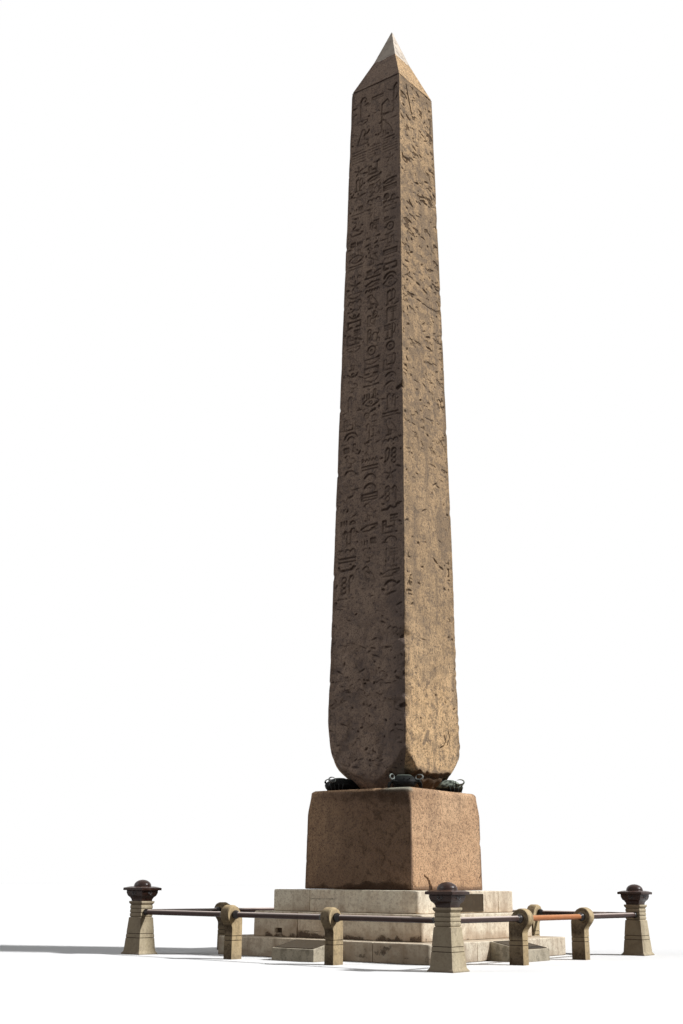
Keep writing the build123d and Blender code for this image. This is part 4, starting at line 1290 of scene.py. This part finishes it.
flat_shaded_edges(pier, 38)
piers = round_the_square("corner_piers", pier, railing_stone)
x, y, z = places_of(piers)
off_x, off_y = x - pier_out * np.sign(x), y - pier_out * np.sign(y)
side_width = np.maximum(np.abs(off_x), np.abs(off_y))
in_groove = (side_width < batter_half(z) - 0.004) & (z > 0.3) & (z < 0.5)
between = np.min([np.abs(z - roll_foot - roll_height * roll) for roll in range(rolls + 1)], axis=0) < 0.003
# The grooves and the lines between the rolls are darkened, as dirt and as painted shade in them
give(piers, "sunk", np.where(in_groove | between, 0.080, 0.0))
# Painted shade: the faces of each pier that look to the front are darker; the foot and the top of the shaft
# are darker too
in_shade = (np.abs(off_y) > np.abs(off_x) - 0.001) & (off_y < 0)
give(piers, "stain_and_shade", 0.80 * in_shade + 0.35 * ease(z, 0.10, 0.0) + 0.20 * ease(z, 1.0, 1.12))
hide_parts(*[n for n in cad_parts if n.startswith("corner_pier_")])
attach(piers, "root")

# The caps are painted cast iron: a flaring throat with a small pair of curls on each face, a square
# plate, and a low slope up to a dome. The dark brown paint is smooth, and dull where rain has run.
cap_iron = metal_finish(
    "cap_paint", (0.030, 0.013, 0.009), (0.050, 0.024, 0.017), (0.11, 0.066, 0.050),
    patina_share=0.15, metallic=0.0, roughness=0.24, grain=6.0, bump=0.0012, shine=0.22
)
curl_finish = metal_finish(
    "curl_paint", (0.050, 0.044, 0.046), (0.10, 0.095, 0.10), (0.16, 0.15, 0.14),
    patina_share=0.3, metallic=0.0, roughness=0.30, grain=8.0, bump=0.001
)
cap_foot = 1.130
# Half widths and heights above the foot: the throat, the block with the curls, the plate, the slope
cap_profile = (
    (0.160, 0.001), (0.1655, 0.004), (0.1657, 0.030), (0.1725, 0.048), (0.181, 0.062), (0.1885, 0.077),
    (0.203, 0.092), (0.219, 0.106), (0.2255, 0.115), (0.236, 0.138), (0.2435, 0.160), (0.2455, 0.1725),
    (0.249, 0.174), (0.2495, 0.178), (0.2495, 0.226), (0.2480, 0.2295), (0.301, 0.2305), (0.3055, 0.235),
    (0.3055, 0.279), (0.302, 0.2845), (0.270, 0.294), (0.225, 0.307), (0.180, 0.3155),
)
dome_radius, dome_spring, dome_rise = 0.1945, 0.3225, 0.1375
profile = [(half, cap_foot + rise) for half, rise in cap_profile]
cap = moulded("cap", profile, cap_iron, 0.008, (pier_out, -pier_out))
rounds = 48
dome = [(0.197, 0.304), (0.1975, 0.318), (dome_radius, dome_spring)]
for angle in np.radians(np.linspace(4, 88, 18)):
    dome.append((dome_radius * math.cos(angle), dome_spring + dome_rise * math.sin(angle)))
body = bmesh.new()
body.from_mesh(cap.data)
base = len(body.verts)
for radius, rise in dome:
    for turn in np.linspace(0, 2 * math.pi, rounds, endpoint=False):
        place = (pier_out + radius * math.cos(turn), -pier_out + radius * math.sin(turn), cap_foot + rise)
        body.verts.new(place)
body.verts.ensure_lookup_table()
for quad in ring_faces(len(dome), rounds, base):
    body.faces.new([body.verts[n] for n in quad])
close_ring(body, base + (len(dome) - 1) * rounds, rounds)
body.to_mesh(cap.data)
body.free()
flat_shaded_edges(cap, 30)
caps = round_the_square("pier_caps", cap, cap_iron)
# A pair of curls on each face: each rises from the middle and winds in on itself to one side
curl_radius, curl_level, curl_out, curl_steps = 0.028, 0.186, 0.2475, 13
curls = []
for face_turn in range(4):
    for hand in (-1, 1):
        line = [(0.0, -0.062), (hand * 0.006, -0.035)]
        for n, angle in enumerate(np.radians(np.linspace(-100, 330, curl_steps))):
            radius = curl_radius * (1 - n / (curl_steps + 2))
            line.append((hand * (0.034 + radius * math.cos(angle)), radius * math.sin(angle)))
        spots = []
        for sideways, rise in line:
            out = curl_out - 0.55 * min(0.0, rise)
            x, y, z = turned_round(sideways, -out, cap_foot + curl_level + rise, face_turn)
            spots.append((pier_out + x, y - pier_out, z))
        curls.append((spots, [0.020] + [0.016] * (len(line) - 2) + [0.010]))
curl_bars = swept("cap_curl_bars", curls, 8, 22, curl_finish)
curls = round_the_square("cap_curls", curl_bars, curl_finish)
for piece in (caps, curls):
    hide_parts(*[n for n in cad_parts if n.startswith("pier_cap_")])
    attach(piece, "root")

# The ring posts are single stones. A battered stem leans outward at its shoulder into a thick round
# head, and the rail passes through the head. Two fine grooves run round the stem.
post_out, rail_out, rail_level = 4.0155, 4.1355, 0.896
post_places = (-1.3485, 1.3485)
post_half, post_edge = 0.1125, 0.010
ring_radius, post_grooves = 0.195, (0.378, 0.468)
rounds = 46
post_stone = stone_finish(
    "ring_post_stone",
    light=(0.64, 0.500, 0.300), body=(0.56, 0.420, 0.235), dark=(0.155, 0.120, 0.090),
    fleck=(0.30, 0.23, 0.15), grain=18.0, flecks=0.40, mottle=0.40, streaks=0.42, bump=0.007
)
stem_levels = [0.0, 0.004, 0.02]
for groove in post_grooves:
    stem_levels += [groove - 0.0075, groove - 0.0055, groove + 0.0055, groove + 0.0075]
stem_levels += list(np.linspace(0.56, 1.050, 34))
# The head along the rail, from one face to the other: place and radius. The faces are sunk about the
# hole for the rail, and the rim between them is round.
head = [
    (-0.1265, 0.060), (-0.1265, 0.098), (-0.1245, 0.103),
    (-0.1165, 0.1055), (-0.1148, 0.112), (-0.1148, 0.151),
]
for angle in np.radians(np.linspace(4, 90, 9)):
    head.append((-0.072 - 0.0428 * math.cos(angle), 0.152 + 0.0425 * math.sin(angle)))
head += [(-place, radius) for place, radius in reversed(head)]


def stem_depth(level):
    """How far inwards and outwards the stem reaches at a height."""
    batter = 0.006 * min(level, 0.76) / 0.76
    back, front = batter - 0.163, 0.163 - batter
    if level > 0.76:
        back = 0.168 * ((level - 0.76) / 0.2977) ** 2.0 - 0.157
    if level > 0.60:
        front = 0.157 + 0.0935 * (min(level - 0.60, 0.151) / 0.151) ** 1.8
    if level > 0.751:
        front = 0.120 + math.sqrt(max(ring_radius ** 2 - (level - rail_level) ** 2, 0.0)) - 0.012
    return back, front


def round_the_rail(middle, outline, count):
    """Rings of points round the line of the front rail, at places from the middle, with their radii."""
    turns = np.linspace(0, 2 * math.pi, count, endpoint=False)
    return [(middle + place, -rail_out + radius * math.cos(turn), rail_level + radius * math.sin(turn))
            for place, radius in outline for turn in turns]


points, faces, post_sunk, post_stain = [], [], [], []
for place in post_places:
    base = len(points)
    for level in stem_levels:
        sunk = 0.009 if any(abs(level - groove) < 0.006 for groove in post_grooves) else 0.0
        back, front = stem_depth(level)
        back, front = back + sunk, max(front - sunk, back + sunk + 0.03)
        centre_x = post_half - sunk - post_edge
        front_y, back_y = front - post_edge, back + post_edge
        bends = ((1, front_y, -90), (1, back_y, 0), (-1, back_y, 90), (-1, front_y, 180))
        for side_x, centre_y, first in bends:
            for angle in np.radians(np.linspace(first, first + 90, 5)):
                across, along = post_edge * math.cos(angle), post_edge * math.sin(angle)
                points.append((place + side_x * centre_x + across, -(post_out + centre_y) + along, level))
                # The grooves are darkened, as dirt and as painted shade in them
                post_sunk.append(0.080 if sunk else 0.0)
                post_stain.append(0.35 * max(0.0, 1 - level / 0.12))
    faces += ring_faces(len(stem_levels), (len(points) - base) // len(stem_levels), base)
    faces += ring_faces(len(head), rounds, len(points), outside_in=True)
    points += round_the_rail(place, head, rounds)
    for off_middle, radius in head:
        post_sunk += [0.0] * rounds
        post_stain += [0.45 if abs(off_middle) > 0.110 and radius < 0.15 else 0.0] * rounds
posts = mesh_piece("ring_post_pair", points, faces, post_stone)
give(posts, "sunk", post_sunk)
give(posts, "stain_and_shade", post_stain)
flat_shaded_edges(posts, 36)
body = bmesh.new()
body.from_mesh(posts.data)
bmesh.ops.recalc_face_normals(body, faces=body.faces)
body.to_mesh(posts.data)
body.free()
posts = round_the_square("ring_posts", posts, post_stone)
# What faces the front is painted darker, as shade, as on the rest, and the heads a little less so than the
# stems
facing = np.empty(len(posts.data.vertices) * 3)
posts.data.vertex_normals.foreach_get("vector", facing)
on_front = ease(-facing[1::3], 0.45, 0.90)
stem = 0.88 + 0.12 * ease(places_of(posts)[2], 0.80, 0.68)
for name, amount in (("stain_and_shade", 1.0), ("sunk", 0.066)):
    store = posts.data.attributes[name].data
    values = np.empty(len(store))
    store.foreach_get("value", values)
    store.foreach_set("value", np.maximum(values, amount * on_front * stem))
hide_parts(*[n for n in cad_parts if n.startswith("ring_post_")])
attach(posts, "root")

# The rails are pipes in three lengths a side, painted brown, with cast black collars against the
# stone. The middle length of the right side has been changed, and is bare copper orange.
# The pale coat given for the tops of the painted pipes is a painted highlight
rail_paint = metal_finish(
    "rail_paint", (0.052, 0.027, 0.022), (0.082, 0.050, 0.042), (0.74, 0.62, 0.56), patina_share=0.04,
    metallic=0.0, roughness=0.28, grain=5.0, bump=0.0010, top_patina_and_highlight=0.9, shine=0.14, top=(0.38, 0.86)
)
collar_paint = metal_finish(
    "collar_paint", (0.018, 0.013, 0.011), (0.034, 0.026, 0.023), (0.09, 0.07, 0.06), patina_share=0.15,
    metallic=0.0, roughness=0.24, grain=8.0, bump=0.0010, shine=0.25
)
# The paler top of the bare copper is a painted highlight
bare_pipe = metal_finish(
    "bare_copper_pipe", (0.42, 0.150, 0.050), (0.50, 0.205, 0.080), (0.62, 0.29, 0.13), patina_share=0.20,
    metallic=0.15, roughness=0.42, grain=9.0, bump=0.0008, top_patina_and_highlight=0.7
)
pipe_radius, pipe_rounds, into_stone = 0.0563, 40, 0.04
# A collar along its length: shares of the length and of the radius
collar_shape = (
    (0.0, 0.84), (0.03, 0.90), (0.10, 0.955), (0.20, 0.99), (0.32, 1.0), (0.44, 0.985),
    (0.55, 0.93), (0.66, 0.85), (0.78, 0.76), (0.90, 0.68), (0.99, 0.63),
)
ring_face, pier_face = 0.1272, 3.9032
# The length and the radius of the collars at the rings, and of those at the piers
ring_collar, pier_collar = (0.125, 0.0905), (0.0978, 0.0708)
left_post, right_post = post_places
# Each length of pipe: its ends, and its collars there
pipe_lengths = (
    (-pier_face, left_post - ring_face, pier_collar, ring_collar),
    (left_post + ring_face, right_post - ring_face, ring_collar, ring_collar),
    (right_post + ring_face, pier_face, ring_collar, pier_collar),
)
for side, name in enumerate(("front", "right", "back", "left")):
    points, faces, paints = [], [], []
    for part, (first, last, near, far) in enumerate(pipe_lengths):
        bar = [(first - into_stone, pipe_radius), (first, pipe_radius)]
        bar += [(first + near[0] * d, max(near[1] * r, pipe_radius)) for d, r in collar_shape]
        bar += [(d, pipe_radius) for d in np.linspace(first + near[0] + 0.002, last - far[0] - 0.002, 16)]
        bar += [(last - far[0] * d, max(far[1] * r, pipe_radius)) for d, r in reversed(collar_shape)]
        bar += [(last, pipe_radius), (last + into_stone, pipe_radius)]
        faces += ring_faces(len(bar), pipe_rounds, len(points), outside_in=True)
        points += round_the_rail(0.0, bar, pipe_rounds)
        pipe_paint = 2 if side == 1 and part == 1 else 0
        for (start, _), (end, _) in zip(bar, bar[1:]):
            middle = (start + end) / 2
            on_collar = middle - first < near[0] or last - middle < far[0]
            paints += [1 if on_collar else pipe_paint] * pipe_rounds
    x, y, z = np.array(points).T
    piece = mesh_piece("rail_pipes_" + name, turned_round(x, y, z, side), faces, rail_paint)
    piece.data.materials.append(collar_paint)
    piece.data.materials.append(bare_pipe)
    piece.data.polygons.foreach_set("material_index", paints)
    flat_shaded_edges(piece, 40)
    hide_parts("rail_" + name)
    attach(piece, "root")

# A low stone desk leans against the steps on each side, with a bare bronze tablet set on its slope.
# The tablets have a raised rim and a bolt at each corner, and a fifth one is fixed to the top step.
desk_stone = stone_finish(
    "desk_stone",
    light=(0.60, 0.535, 0.415), body=(0.50, 0.435, 0.325), dark=(0.21, 0.180, 0.140),
    fleck=(0.26, 0.22, 0.17), grain=30.0, flecks=0.3, streaks=0.25, bump=0.004
)
tablet_bronze = metal_finish(
    "tablet_bronze", (0.062, 0.044, 0.027), (0.095, 0.068, 0.044), (0.12, 0.105, 0.078),
    patina_share=0.20, metallic=0.10, roughness=0.55, grain=7.0, bump=0.0012, shine=0.12
)
desk_low, desk_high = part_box("desk_front")
front_height = 0.243
# A block one high is drawn up to the slope of the top
low, high = (desk_low.x, desk_low.y, 0.0), (desk_high.x, desk_high.y - 0.0005, 1.0)
points, faces = block_net(low, high, 0.09, (0.0, 0.004, 0.010, 0.020, 0.035))
roof = front_height + (desk_high.z - front_height) * (points[:, 1] - desk_low.y) / (desk_high.y - desk_low.y)
points[:, 2] *= roof
x, y, z = points.T
edge = 0.006 + 0.012 * ease(rough(x + z, y - z, 0.12, 260), 0.3, 0.8)
core_x = np.clip(x, desk_low.x + edge, desk_high.x - edge)
core_y = np.clip(y, desk_low.y + edge, desk_high.y - edge)
core = np.stack([core_x, core_y, np.clip(z, edge, roof - edge)], axis=-1)
out = points - core
out /= np.maximum(np.linalg.norm(out, axis=1, keepdims=True), 1e-9)
desk = mesh_piece("desk", core + out * edge[:, None], faces, desk_stone)
merged(desk)
desks = round_the_square("desks", desk, desk_stone)
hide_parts(*[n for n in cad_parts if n.startswith("desk_") and "tablet" not in n])
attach(desks, "root")


def tablet(name, width, tall, thickness):
    """A bare plate with a raised rim and four round-headed bolts, lying flat with its back at 0."""
    half_wide, half_tall = width / 2, tall / 2
    rim, lip = 0.022, 0.004
    bolt_in, bolt_radius, bolt_flatness = 0.048, 0.011, 0.45
    face = thickness - lip
    profile = (
        (0.0, 0.0), (0.0, thickness - 0.002), (0.002, thickness), (rim, thickness),
        (rim + 0.005, face), (rim + 0.05, face),
    )
    points = []
    for inset, level in profile:
        for side_x, side_y in ((-1, -1), (1, -1), (1, 1), (-1, 1)):
            points.append((side_x * (half_wide - inset), side_y * (half_tall - inset), level))
    piece = mesh_piece(name, points, ring_faces(len(profile), 4), tablet_bronze)
    body = bmesh.new()
    body.from_mesh(piece.data)
    close_ring(body, 0, 4, downwards=True)
    close_ring(body, 4 * (len(profile) - 1), 4)
    for side_x in (-1, 1):
        for side_y in (-1, 1):
            bolt = bmesh.ops.create_uvsphere(body, u_segments=18, v_segments=10, radius=bolt_radius)["verts"]
            place = (side_x * (half_wide - bolt_in), side_y * (half_tall - bolt_in), face + 0.0008)
            bmesh.ops.scale(body, verts=bolt, vec=(1, 1, bolt_flatness))
            bmesh.ops.translate(body, verts=bolt, vec=place)
    body.to_mesh(piece.data)
    body.free()
    return piece


slope_rise, slope_run = desk_high.z - front_height, desk_high.y - desk_low.y
slope_middle = (0, (desk_low.y + desk_high.y) / 2, (front_height + desk_high.z) / 2)
plate = tablet("desk_plate", 1.030, math.hypot(slope_rise, slope_run) - 0.090, 0.0135)
tip = Matrix.Rotation(math.atan2(slope_rise, slope_run), 4, "X")
plate.data.transform(Matrix.Translation(slope_middle) @ tip @ Matrix.Translation((0, 0, 0.0002)))
flat_shaded_edges(plate, 30)
plates = round_the_square("desk_plates", plate, tablet_bronze)
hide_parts(*[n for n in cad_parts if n.startswith("desk_tablet_")])
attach(plates, "root")
plate = tablet("step_plate", 1.264, 0.381, 0.014)
stand_up = Matrix.Rotation(math.pi / 2, 4, "Z") @ Matrix.Rotation(math.pi / 2, 4, "X")
plate.data.transform(Matrix.Translation((1.9915, 0.0, 1.1585)) @ stand_up)
flat_shaded_edges(plate, 30)
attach(plate, "root")
